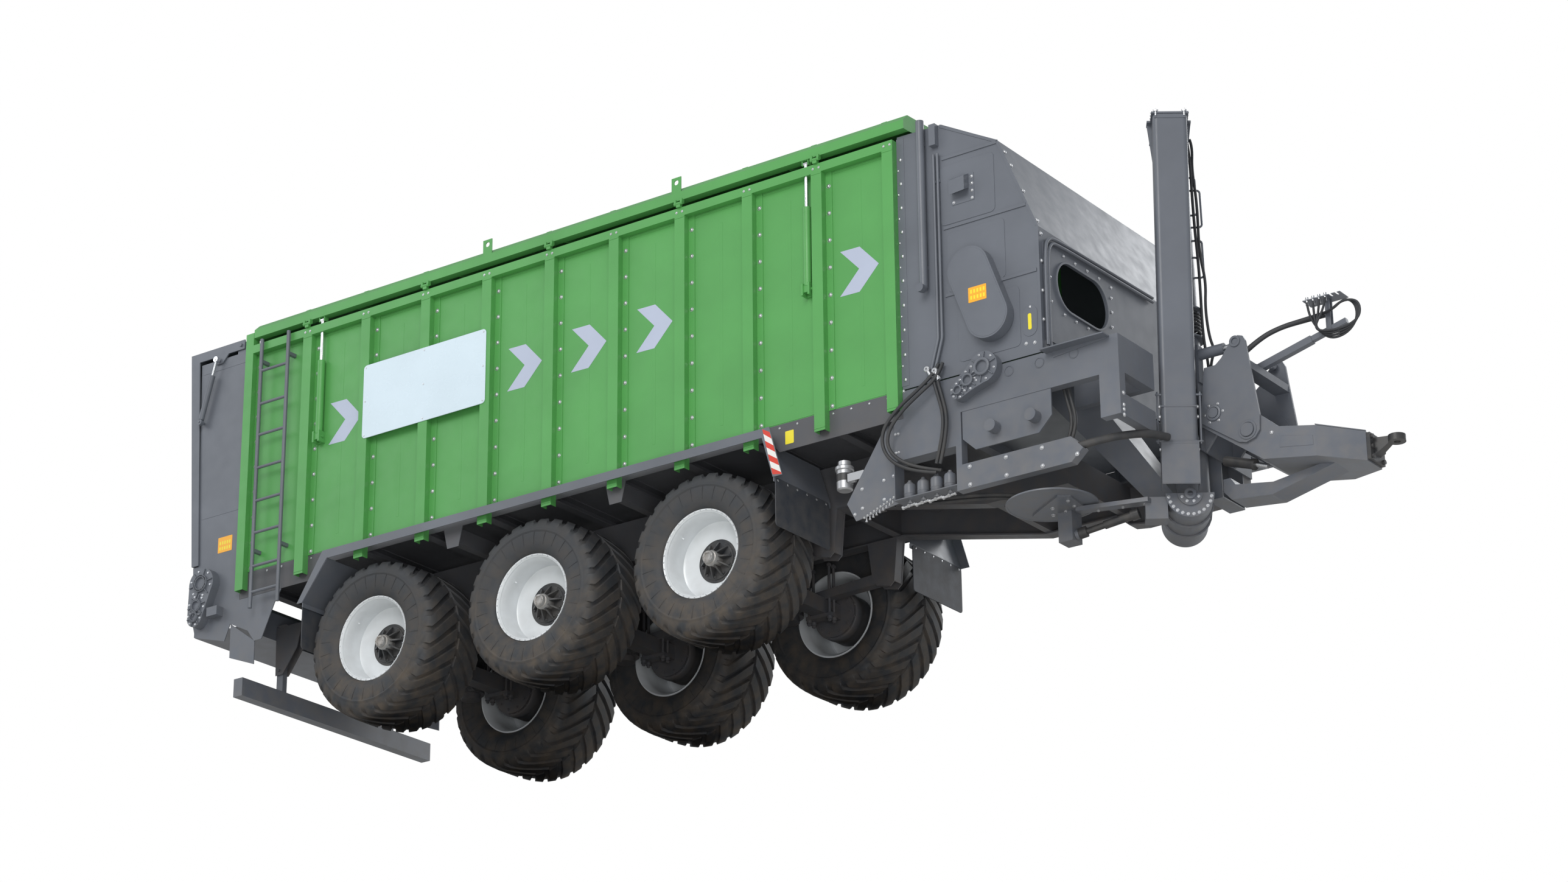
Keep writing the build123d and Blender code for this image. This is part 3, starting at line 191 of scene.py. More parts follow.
SILVER = finish("silver_paint", (0.74, 0.77, 0.79), 0.33, metal=0.10, coat=0.25, dusty=0.2, tone=0.06)
CHROME = finish("chrome_rod", (0.80, 0.81, 0.83), 0.16, metal=1.0, dusty=0.05, grain=900.0,
                stretch=(1, 1, 0.05))
BLACK = finish("black_steel", (0.030, 0.032, 0.036), 0.42, dusty=0.3)
STEEL = finish("mill_steel", (0.40, 0.39, 0.38), 0.38, metal=0.85, dust=(0.35, 0.25, 0.12), dusty=0.3)
ALUMINIUM = finish("cast_aluminium", (0.56, 0.57, 0.59), 0.36, metal=0.7, dusty=0.2, grain=350.0)
YELLOW = finish("yellow_label", (0.85, 0.72, 0.04), 0.35, dusty=0.1, tone=0.04)
ORANGE = finish("orange_label", (0.90, 0.42, 0.03), 0.35, dusty=0.1, tone=0.04)
RED = finish("red_reflective", (0.62, 0.05, 0.03), 0.32, dusty=0.15, tone=0.05)
WHITE = finish("white_reflective", (0.78, 0.78, 0.76), 0.32, dusty=0.15, tone=0.03)

SLOT = {"green_paint": GREEN, "grey_paint": GREY, "zinc_steel": ZINC, "sign_white": SIGN,
        "black_rubber": RUBBER, "silver_paint": SILVER, "tyre_rubber": TYRE, "chrome_rod": CHROME,
        "black_steel": BLACK, "raw_steel": STEEL, "filter_aluminium": ALUMINIUM}


# Mesh kit
class Kit:
    """Collects solids in station millimetres; done() makes them one piece that rides on a body."""

    def __init__(self, place=None):
        self.bm = bmesh.new()
        self.place = place or Matrix.Identity(4)

    def prism(self, points, push):
        """Closed polygon of 3-D corners, pushed along a vector."""
        near = [self.bm.verts.new(Vector(p)) for p in points]
        far = [self.bm.verts.new(Vector(p) + Vector(push)) for p in points]
        self.bm.faces.new(near)
        self.bm.faces.new(far[::-1])
        for i in range(len(near)):
            j = (i + 1) % len(near)
            self.bm.faces.new((near[j], near[i], far[i], far[j]))

    def side(self, outline, y0, y1):
        self.prism([(x, y0, z) for x, z in outline], (0, y1 - y0, 0))

    def box(self, x0, x1, y0, y1, z0, z1):
        self.prism([(x0, y0, z0), (x1, y0, z0), (x1, y1, z0), (x0, y1, z0)], (0, 0, z1 - z0))

    def lathe(self, profile, origin, axis, count=32):
        """Closed (radius, along) outline turned about an axis."""
        axis = Vector(axis).normalized()
        across = axis.orthogonal().normalized()
        other = axis.cross(across)
        origin = Vector(origin)
        rings = []
        for k in range(count):
            turn = 2 * math.pi * k / count
            out = across * math.cos(turn) + other * math.sin(turn)
            rings.append([self.bm.verts.new(origin + axis * t + out * r) for r, t in profile])
        for k in range(count):
            a, b = rings[k], rings[(k + 1) % count]
            for i in range(len(profile)):
                j = (i + 1) % len(profile)
                self.bm.faces.new((a[i], a[j], b[j], b[i]))

    def rod(self, p0, p1, radius, end=None, count=20):
        """Round bar or cone between two points."""
        run = Vector(p1) - Vector(p0)
        end = radius if end is None else end
        axis = run.normalized()
        across = axis.orthogonal().normalized()
        other = axis.cross(across)
        rings = []
        for centre, size in ((Vector(p0), radius), (Vector(p1), end)):
            rings.append([self.bm.verts.new(centre + (across * math.cos(t) + other * math.sin(t)) * size)
                          for t in (2 * math.pi * k / count for k in range(count))])
        self.bm.faces.new(rings[0][::-1])
        self.bm.faces.new(rings[1])
        for k in range(count):
            j = (k + 1) % count
            self.bm.faces.new((rings[0][k], rings[0][j], rings[1][j], rings[1][k]))

    def dome(self, point, normal, radius, height):
        """Round-head bolt on a washer."""
        axis = Vector(normal).normalized()
        point = Vector(point)
        self.rod(point - axis * 1.0, point + axis * 2.5, radius * 1.35, count=16)
        steps = [(1.0, 0.0), (0.97, 0.45), (0.8, 0.78), (0.45, 0.96)]
        rings = []
        across = axis.orthogonal().normalized()
        other = axis.cross(across)
        for share, rise in steps:
            centre = point + axis * (2.0 + height * rise)
            out = radius * share
            rings.append([self.bm.verts.new(centre + (across * math.cos(t) + other * math.sin(t)) * out)
                          for t in (math.pi * k / 6 for k in range(12))])
        for low, high in zip(rings, rings[1:]):
            for k in range(12):
                j = (k + 1) % 12
                self.bm.faces.new((low[k], low[j], high[j], high[k]))
        self.bm.faces.new(rings[0][::-1])
        self.bm.faces.new(rings[-1])

    def hexagon(self, point, normal, radius, height):
        """Hexagon head on a washer."""
        axis = Vector(normal).normalized()
        point = Vector(point)
        self.rod(point - axis * 1.0, point + axis * 3.0, radius * 1.3, count=16)
        self.rod(point + axis * 2.0, point + axis * (3.0 + height), radius, count=6)

    def mirror(self):
        """Adds the mirror image across the centre plane."""
        copy = bmesh.ops.duplicate(self.bm, geom=self.bm.verts[:] + self.bm.edges[:] + self.bm.faces[:])
        verts = [g for g in copy["geom"] if isinstance(g, bmesh.types.BMVert)]
        bmesh.ops.scale(self.bm, vec=(1, -1, 1), verts=verts)
        faces = [g for g in copy["geom"] if isinstance(g, bmesh.types.BMFace)]
        bmesh.ops.reverse_faces(self.bm, faces=faces)

    def made(self, name, material, angle):
        """The collected solids as one object in the row frame, sharp where faces turn past an angle."""
        bmesh.ops.transform(self.bm, matrix=TO_ROW @ self.place, verts=self.bm.verts)
        bmesh.ops.recalc_face_normals(self.bm, faces=self.bm.faces)
        mesh = bpy.data.meshes.new(name)
        self.bm.to_mesh(mesh)
        self.bm.free()
        mesh.materials.append(material)
        mesh.shade_smooth()
        mesh.set_sharp_from_angle(angle=math.radians(angle))
        return shown(name, mesh)

    def done(self, name, material, body, bevel=0.0, nodes=(), angle=38, slot=None):
        """Makes the piece and sets it on its body, for the CAD nodes that it stands for."""
        obj = self.made(name, material, angle)
        if bevel:
            add_bevel(obj, bevel)
        settle(obj, body, nodes)


def shown(name, data):
    """New object for some data, linked to the scene."""
    obj = bpy.data.objects.new(name, data)
    bpy.context.scene.collection.objects.link(obj)
    return obj


def settle(obj, body, nodes):
    """Fixes a piece to its body and hides the nodes it replaces."""
    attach(obj, body)
    if nodes:
        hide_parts(*nodes)


def add_bevel(obj, width):
    """Rounded edges, width in millimetres."""
    bevel = obj.modifiers.new("edges", "BEVEL")
    bevel.width = width / 1000
    bevel.segments = 2
    bevel.limit_method = "ANGLE"
    bevel.angle_limit = math.radians(40)
    bevel.use_clamp_overlap = True


def hoses(name, routes, radius, material, body, nodes=()):
    """Fixed hoses or pipes, one smooth line each through control points in station millimetres."""
    curve = bpy.data.curves.new(name, "CURVE")
    curve.dimensions = "3D"
    curve.bevel_depth = 1.0
    curve.bevel_resolution = 4
    curve.resolution_u = 10
    curve.use_fill_caps = True
    for route in routes:
        spline = curve.splines.new("NURBS")
        spline.points.add(len(route) - 1)
        for point, place in zip(spline.points, route):
            point.co = (*(TO_ROW @ Vector(place)), 1.0)
            point.radius = radius / 1000
        spline.order_u = 3
        spline.use_endpoint_u = True
    curve.materials.append(material)
    settle(shown(name, curve), body, nodes)


def lined(p, q, share):
    """Point at a share of the way from p to q."""
    return tuple(a + (b - a) * share for a, b in zip(p, q))


def stadium(high, low, radius, steps=12):
    """Outline of two half circles and their tangents, (a, b) pairs anticlockwise."""
    run = math.atan2(low[1] - high[1], low[0] - high[0])
    points = []
    for centre, base in ((low, run - math.pi / 2), (high, run + math.pi / 2)):
        for k in range(steps + 1):
            t = base + math.pi * k / steps
            points.append((centre[0] + radius * math.cos(t), centre[1] + radius * math.sin(t)))
    return points


# Carried CAD nodes
def dress_cad_nodes():
    """Every CAD node gets a finish: its record slot's, or the one named here."""
    special = {"lid_cylinder_barrels": GREEN, "mud_flaps": FLAP, "ladder": GREY, "underrun_bumper": GREY,
               "accumulators": ALUMINIUM}
    for name in ("floor_frame", "chassis_frame", "rear_axle", "middle_axle", "front_axle"):
        special[name] = FRAME_GREY
    slots = {s["node"]: s["material_slot"] for s in frame["record"]["subparts"]}
    for name, obj in NODES.items():
        material = special.get(name) or SLOT[slots[name]]
        if not obj.material_slots:
            obj.data.materials.append(material)
        for place in obj.material_slots:
            place.link = "OBJECT"
            place.material = material


dress_cad_nodes()


# Wheels
def tyre(place, side):
    """Lug tyre: chevron blocks, scalloped shoulders, raised sidewall ring and radial bars."""
    sign = -1 if side == "right" else 1
    kit = Kit()
    blocks = 28
    half = [(6, 654, 3), (13, 656, 23), (120, 655, 24), (210, 650, 24), (262, 642, 24), (300, 630, 23),
            (324, 612, 16), (336, 592, 9), (343, 572, 3)]
    wall = [(344, 564), (348, 558), (350, 548), (347, 540), (344, 534), (345, 500), (341, 452), (335, 420),
            (326, 400), (316, 381), (302, 368), (290, 363), (286, 345), (262, 336)]
    rows = [(-w, r, 0) for w, r in reversed(wall)] + [(-w, r, h) for w, r, h in reversed(half)]
    rows += half + [(w, r, 0) for w, r in wall]
    marks = [0.0, 0.60, 0.66, 0.94]
    rings = []
    for w, base, lug in rows:
        lean = 1.75 * (min(abs(w), 300) / 300) ** 1.15
        lean += 0.5 if w > 0 else 0.0
        ring = []
        for k in range(blocks):
            for n, mark in enumerate(marks):
                turn = 2 * math.pi * (k + mark - lean) / blocks
                radius = base + (lug if n < 2 else 0)
                ring.append(kit.bm.verts.new((radius * math.cos(turn), w, radius * math.sin(turn))))
        rings.append(ring)
    count = blocks * len(marks)
    for a, b in zip(rings, rings[1:] + rings[:1]):
        for k in range(count):
            j = (k + 1) % count
            kit.bm.faces.new((a[k], a[j], b[j], b[k]))
    for w in (-1, 1):
        for k in range(28):
            turn = 2 * math.pi * k / 28
            out = Vector((math.cos(turn), 0, math.sin(turn)))
            across = Vector((-math.sin(turn), 0, math.cos(turn))) * 3.5
            line = [(408, 326), (440, 337), (500, 344), (535, 343)]
            corners = [out * r + Vector((0, w * (t - 3), 0)) for r, t in line]
            corners += [out * r + Vector((0, w * min(t + 4, 349), 0)) for r, t in reversed(line)]
            kit.prism([c - across for c in corners], across * 2)
    kit.place = Matrix.Translation((AXLES[place], sign * TRACK_Y, HUB_Z)) @ Matrix.Rotation(0.1, 4, "Y")
    name = f"{place}_{side}_tyre"
    kit.done(f"{name}_lugs", TYRE, f"{place}_{side}_wheel", nodes=(name,), angle=28)


def wheel(place, side):
    """Deep silver rim, dark hub with ribs and cap, bolts, and the brake drum behind."""
    sign = -1 if side == "right" else 1
    body = f"{place}_{side}_wheel"
    origin = (AXLES[place], 0, HUB_Z)
    along = (0, sign, 0)
    rim = Kit()
    rim.lathe([(362, 1218), (364, 1212), (362, 1206), (342, 1203), (334, 1172), (328, 1100), (328, 1040),
               (322, 1030), (322, 800), (328, 790), (328, 740), (334, 660), (342, 627), (362, 624),
               (364, 618), (362, 612), (352, 612), (330, 640), (316, 690), (312, 800), (312, 975),
               (304, 988), (244, 989), (180, 974), (118, 974), (118, 986), (178, 986), (238, 1001),
               (300, 1002), (318, 1012), (318, 1040), (322, 1098), (330, 1172), (346, 1206), (352, 1214)],
              origin, along, count=96)
    for turn in range(3):
        angle = math.radians(20 + 120 * turn)
        p = (AXLES[place] + 318 * math.cos(angle), sign * 1120, HUB_Z + 318 * math.sin(angle))
        rim.rod(p, lined(p, origin[:1] + (sign * 1120,) + origin[2:], 0.06), 7)
    rim.done(f"{body}_rim", SILVER, body, nodes=(f"{place}_{side}_rim",), angle=30)
    clips = Kit()
    for turn in range(40):
        angle = math.radians(9 * turn)
        x, z = math.cos(angle), math.sin(angle)
        clips.rod((AXLES[place] + 357 * x, sign * 1213, HUB_Z + 357 * z),
                  (AXLES[place] + 357 * x, sign * 1221, HUB_Z + 357 * z), 5, count=8)
    clips.done(f"{body}_flange_marks", ZINC, body)
    hub = Kit()
    hub.lathe([(62, 1003), (150, 1003), (155, 1001), (155, 993), (178, 991), (178, 985), (60, 985)],
              origin, along, count=48)
    cap = Kit()
    cap.lathe([(0.5, 985), (64, 985), (64, 1085), (58, 1096), (50, 1099), (50, 1123), (46, 1129),
               (30, 1130), (28, 1124), (12, 1122), (0.5, 1122)], origin, along, count=36)
    for turn in range(10):
        angle = math.radians(36 * turn + 6)
        out = Vector((math.cos(angle), 0, math.sin(angle)))
        wide = Vector((-math.sin(angle), 0, math.cos(angle))) * 7
        base = Vector(origin)
        corners = [(60, 1002), (148, 1002), (142, 1018), (96, 1052), (60, 1078)]
        points = [base + out * r + Vector((0, sign * y, 0)) - wide for r, y in corners]
        hub.prism(points, wide * 2)
        spot = base + out * 134 + Vector((0, sign * 1003, 0))
        turned = spot + wide * 2.6
        hub.hexagon(turned, along, 10, 9)
    for turn in range(6):
        angle = math.radians(60 * turn)
        spot = Vector(origin) + Vector((38 * math.cos(angle), sign * 1128, 38 * math.sin(angle)))
        cap.hexagon(spot, along, 5, 4)
    hub.done(f"{body}_hub", BLACK, body, bevel=1.2, slot="black_steel")
    cap.done(f"{body}_hub_cap", STEEL, body, bevel=1)
    drum = Kit()
    drum.lathe([(190, 620), (206, 620), (212, 628), (212, 700), (206, 708), (206, 850), (190, 862),
                (46, 862), (46, 846), (188, 846)], origin, along, count=64)
    for turn in range(12):
        angle = math.radians(30 * turn + 15)
        spot = Vector(origin) + Vector((198 * math.cos(angle), sign * 622, 198 * math.sin(angle)))
        drum.hexagon(spot, (0, -sign, 0), 9, 8)
    drum.done(f"{body}_brake_drum", FRAME_GREY, body, bevel=1.5, slot="black_steel")


for axle_name in AXLES:
    for side_name in ("right", "left"):
        tyre(axle_name, side_name)
        wheel(axle_name, side_name)


# Body details
def rounded(x0, x1, z0, z1, radius=40, steps=4):
    """Rectangle outline with rounded corners."""
    points = []
    for cx, cz, base in ((x1 - radius, z1 - radius, 0), (x0 + radius, z1 - radius, 90),
                         (x0 + radius, z0 + radius, 180), (x1 - radius, z0 + radius, 270)):
        for k in range(steps + 1):
            t = math.radians(base + 90 * k / steps)
            points.append((cx + radius * math.cos(t), cz + radius * math.sin(t)))
    return points


def body_details():
    """Wall bolts and seams, chevrons, sign board and blank labels."""
    bolts = Kit()
    for left in [REAR_POST_X - 10] + RIBS[:-1]:
        for step in range(9):
            bolts.dome((left + 130, -SKIN_Y - 6, 1600 + 233 * step), (0, -1, 0), 14, 10)
    for step in range(10):
        bolts.dome((5320, -SKIN_Y, 1650 + 205 * step), (0, -1, 0), 15, 11)
        bolts.dome((5297, -SKIN_Y, 1562 + 205 * step), (0, -1, 0), 10, 8)
    for left in RIBS:
        for x in (left + 22, left + 78):
            bolts.dome((x, -RIB_Y, 3622), (0, -1, 0), 8, 6)
    for x in range(-1400, 5200, 168):
        bolts.dome((x, -SKIN_Y, 1540), (0, -1, 0), 7, 5)
    bolts.mirror()
    bolts.done("wall_dome_bolts", ZINC, "wagon", nodes=("wall_bolts",), angle=50)

    chevrons = Kit()
    shape = [(1.401, 2.913), (1.584, 2.910), (1.759, 2.720), (1.576, 2.529), (1.394, 2.533), (1.576, 2.725)]
    for dx, dz in ((0, 0), (0.672, 0), (1.344, 0), (-1.972, 0), (3.338, -0.04)):
        chevrons.side([((x + dx) * 1000, (z + dz) * 1000) for x, z in shape], -SKIN_Y + 0.5, -SKIN_Y - 1.5)
    chevrons.mirror()
    chevrons.done("pale_chevrons", CHEVRON, "wagon")

    seams = Kit()
    for left in [REAR_POST_X] + RIBS[:-1]:
        start, end = left + 164, left + 672
        if left == REAR_POST_X:
            end = RIBS[0]
        middle = (start + end) / 2
        seams.box(start, end, -SKIN_Y - 3, -SKIN_Y + 1, 1575, 1590)
        seams.box(start, end, -SKIN_Y - 3, -SKIN_Y + 1, 3560, 3580)
        seams.side([(middle - 14, 1700), (middle + 14, 1700), (middle + 14, 3450), (middle - 14, 3450)],
                   -SKIN_Y - 1.2, -SKIN_Y + 1)
    for left in RIBS:
        for z in (1420, 3570):
            seams.side([(left - 2, z), (left + 102, z), (left + 92, z + 14), (left + 8, z + 14)],
                       -RIB_Y - 3, -RIB_Y + 1)
    seams.mirror()
    seams.done("wall_seams_and_rib_feet", GREEN, "wagon", bevel=1.2)

    sign = Kit()
    sign.side(rounded(-137, 1213, 2458, 3126, 35, 6), -RIB_Y + 0.5, -1282)
    sign.done("sign_board", SIGN, "wagon", bevel=2.5, nodes=("sign_panel",))
    rivets = Kit()
    for x in (-112, 538, 1188):
        for z in (2483, 2792, 3101):
            rivets.dome((x, -1282, z), (0, -1, 0), 6, 3)
    rivets.done("sign_rivets", ZINC, "wagon")

    labels = Kit()
    labels.side(rounded(5966, 6126, 2075, 2198, 5, 2), -1313, -1315.5)
    labels.side(rounded(-1827, -1662, 1821, 1962, 5, 2), -SKIN_Y + 0.5, -SKIN_Y - 1.5)
    labels.done("orange_blank_labels", ORANGE, "wagon")
    marks = Kit()
    for x0, z0, y in ((5966, 2075, -1315.5), (-1827, 1821, -SKIN_Y - 1.5)):
        for column in range(5):
            for row in range(2):
                x, z = x0 + 18 + 28 * column, z0 + 22 + 50 * row
                marks.side([(x, z), (x + 16, z), (x + 16, z + 30), (x, z + 30)], y + 0.5, y - 0.5)
    marks.done("label_panels", YELLOW, "wagon")
    yellow = Kit()
    yellow.side(rounded(6419, 6449, 1775, 1905, 12, 3), -SKIN_Y - 3.5, -SKIN_Y - 5.5)
    yellow.side(rounded(4196, 4276, 1392, 1500, 5, 2), -SKIN_Y + 0.5, -SKIN_Y - 1.5)
    yellow.done("yellow_blank_labels", YELLOW, "wagon")


def lid_details():
    """Cross stiffeners and the ridge strip of each roof lid."""
    for side, sign in (("right", -1), ("left", 1)):
        strips = Kit()
        for x in range(-900, 5200, 672):
            strips.prism([(x, sign * 1213, 3858), (x, sign * 10, 3921), (x, sign * 10, 3930),
                          (x, sign * 1213, 3868)], (55, 0, 0))
        strips.prism([(-1449, sign * 60, 3921), (-1449, sign * 8, 3921), (-1449, sign * 8, 3938),
                      (-1449, sign * 60, 3936)], (6844, 0, 0))
        strips.done(f"{side}_lid_stiffeners", GREEN, f"{side}_lid", bevel=2)


def hopper_details():
    """Sheet panels, bolts, window rim and pipes of the front hopper and its subframe."""
    plates = Kit()
    plates.side(rounded(5675, 6165, 2826, 3325), -SKIN_Y + 1, -SKIN_Y - 4)
    plates.side(rounded(5728, 6240, 2256, 2752), -SKIN_Y + 1, -SKIN_Y - 4)
    plates.side(rounded(5805, 6350, 1668, 2160), -SKIN_Y + 1, -SKIN_Y - 4)
    plates.side(stadium((6438, 1905), (6433, 1785), 62), -SKIN_Y + 1, -SKIN_Y - 4)
    plates.side([(5285, 1600), (5352, 1600), (5352, 3680), (5285, 3680)], -SKIN_Y + 1, -SKIN_Y - 3)
    plates.side([(5690, 3692), (6205, 3408), (6190, 3390), (5684, 3668)], -SKIN_Y + 1, -SKIN_Y - 5)
    plates.side([(6205, 3412), (6536, 2602), (6516, 2596), (6186, 3400)], -SKIN_Y + 1, -SKIN_Y - 5)
    plates.side([(6536, 2602), (6536, 1578), (6512, 1578), (6514, 2600)], -SKIN_Y + 1, -SKIN_Y - 5)
    plates.side([(5780, 3209), (5800, 3209), (5940, 3200), (5985, 3200), (5985, 2970), (5785, 2970),
                 (5785, 3060)], -SKIN_Y + 1, -SKIN_Y - 8)
    plates.prism([(5785, -SKIN_Y - 6, 3200), (5940, -SKIN_Y - 6, 3200), (5940, -SKIN_Y - 78, 3160),
                  (5800, -SKIN_Y - 78, 3150)], (0, 0, -120))
    for x in (6794, 6499, 6234):
        plates.lathe([(36, 0), (41, 0), (41, 4), (36, 4)], (x, -SKIN_Y, 1491), (0, -1, 0), 28)
        plates.lathe([(0.5, 0), (34, 0), (34, 1.5), (0.5, 1.5)], (x, -SKIN_Y, 1491), (0, -1, 0), 28)
    plates.mirror()
    plates.done("hopper_panels", GREY, "wagon", bevel=2)

    bolts = Kit()
    for z in (3167, 3110, 3049, 2989):
        bolts.dome((5968, -SKIN_Y - 8, z), (0, -1, 0), 10, 8)
    bolts.dome((5803, -SKIN_Y - 8, 2991), (0, -1, 0), 10, 8)
    for x, z in ((6393, 1672), (6468, 1662), (6440, 1955)):
        bolts.dome((x, -SKIN_Y, z), (0, -1, 0), 11, 9)
    slope = Vector((810, 0, 330)).normalized()
    for x, z in ((6241, 3310), (6293, 3182), (6392, 2939), (6505, 2661)):
        bolts.dome((x, -1170, z), slope, 14, 10)
    for z in (2547, 2323, 2081, 1845):
        bolts.dome((6530, -1172, z), (1, 0, 0), 14, 10)
    bolts.mirror()
    for x in (5866, 6183, 6494):
        for z in (818, 676):
            bolts.dome((x, -SKIN_Y, z), (0, -1, 0), 13, 9)
    bolts.dome((6790, -SKIN_Y, 700), (0, -1, 0), 13, 9)
    for z in (1100, 1006, 929, 970):
        bolts.dome((7170, -1165, z), (1, 0, 0), 14, 10)
    for z in (1080, 1230):
        for x in (5215, 5240):
            bolts.dome((x, -SKIN_Y, z), (0, -1, 0), 9, 7)
    for y, z in ((-1060, 2465), (-1066, 2227), (-860, 2471), (-692, 2470), (-517, 2474), (-342, 2474),
                 (-164, 2462), (-170, 2372), (-170, 2252), (-176, 2126), (-876, 1984), (-709, 1984),
                 (-536, 1990), (-1060, 2030)):
        bolts.dome((6536, y, z), (1, 0, 0), 10, 8)
    bolts.done("hopper_bolts", ZINC, "wagon", angle=50)

    rim = Kit()
    rings = [[rim.bm.verts.new((x, y, z)) for y, z in stadium(WINDOW_LEFT, WINDOW_RIGHT, radius, 16)]
             for x, radius in ((6534, WINDOW_RADIUS + 18), (6550, WINDOW_RADIUS + 18),
                               (6550, WINDOW_RADIUS), (6534, WINDOW_RADIUS))]
    for a, b in zip(rings, rings[1:] + rings[:1]):
        for k in range(len(a)):
            rim.bm.faces.new((a[k - 1], a[k], b[k], b[k - 1]))
    rim.done("window_rim", GREY, "wagon", bevel=2.5)
    hoses("window_pipes", [
        [(6552, -1160 + d, 1640), (6552, -1158 + d, 2019), (6552, -1149 + d, 2440 - d),
         (6552, -1100 + d, 2530 - d), (6552, -992, 2556 - d), (6552, -387, 2572 - d),
         (6552, 455, 2590 - d)] for d in (0, 34)], 13, GREY, "wagon")


def gearbox_details():
    """Ring bosses, ribs and bolts of the two cast cases, and the chain case's cover panel."""
    cover, bolts = Kit(), Kit()
    for circles, face, ring, chamfer, first, rib in ((FRONT_CASE, -1290, 24, 27, 20, 13),
                                                     (REAR_CASE, -1296, 20, 22, 10, 12)):
        for x, z, r in circles:
            cover.lathe([(r * 0.40, 0), (r * 0.56, 0), (r * 0.56, ring), (r * 0.52, chamfer),
                         (r * 0.42, chamfer), (r * 0.40, ring)], (x, face + 2, z), (0, -1, 0), 40)
            for k in range(6):
                t = math.radians(60 * k + first)
                out = Vector((math.cos(t), 0, math.sin(t))) * r
                wide = Vector((-math.sin(t), 0, math.cos(t))) * 4
                p, q = (Vector((x, face, z)) + out * share for share in (0.56, 0.95))
                cover.prism([p - wide, q - wide, q + wide, p + wide], (0, -rib, 0))
                t = math.radians(60 * k + 45)
                spot = (x + 0.82 * r * math.cos(t), face, z + 0.82 * r * math.sin(t))
                bolts.hexagon(spot, (0, -1, 0), 7, 6)
    cover.done("gearbox_ribs", GREY, "wagon", bevel=1.5)
    bolts.done("gearbox_bolts", ZINC, "wagon")
    panel = Kit()
    panel.side(stadium(CHAIN_HIGH, CHAIN_LOW, 168), -1311, -1314)
    panel.done("chain_case_cover_panel", GREY, "wagon", bevel=2.5)


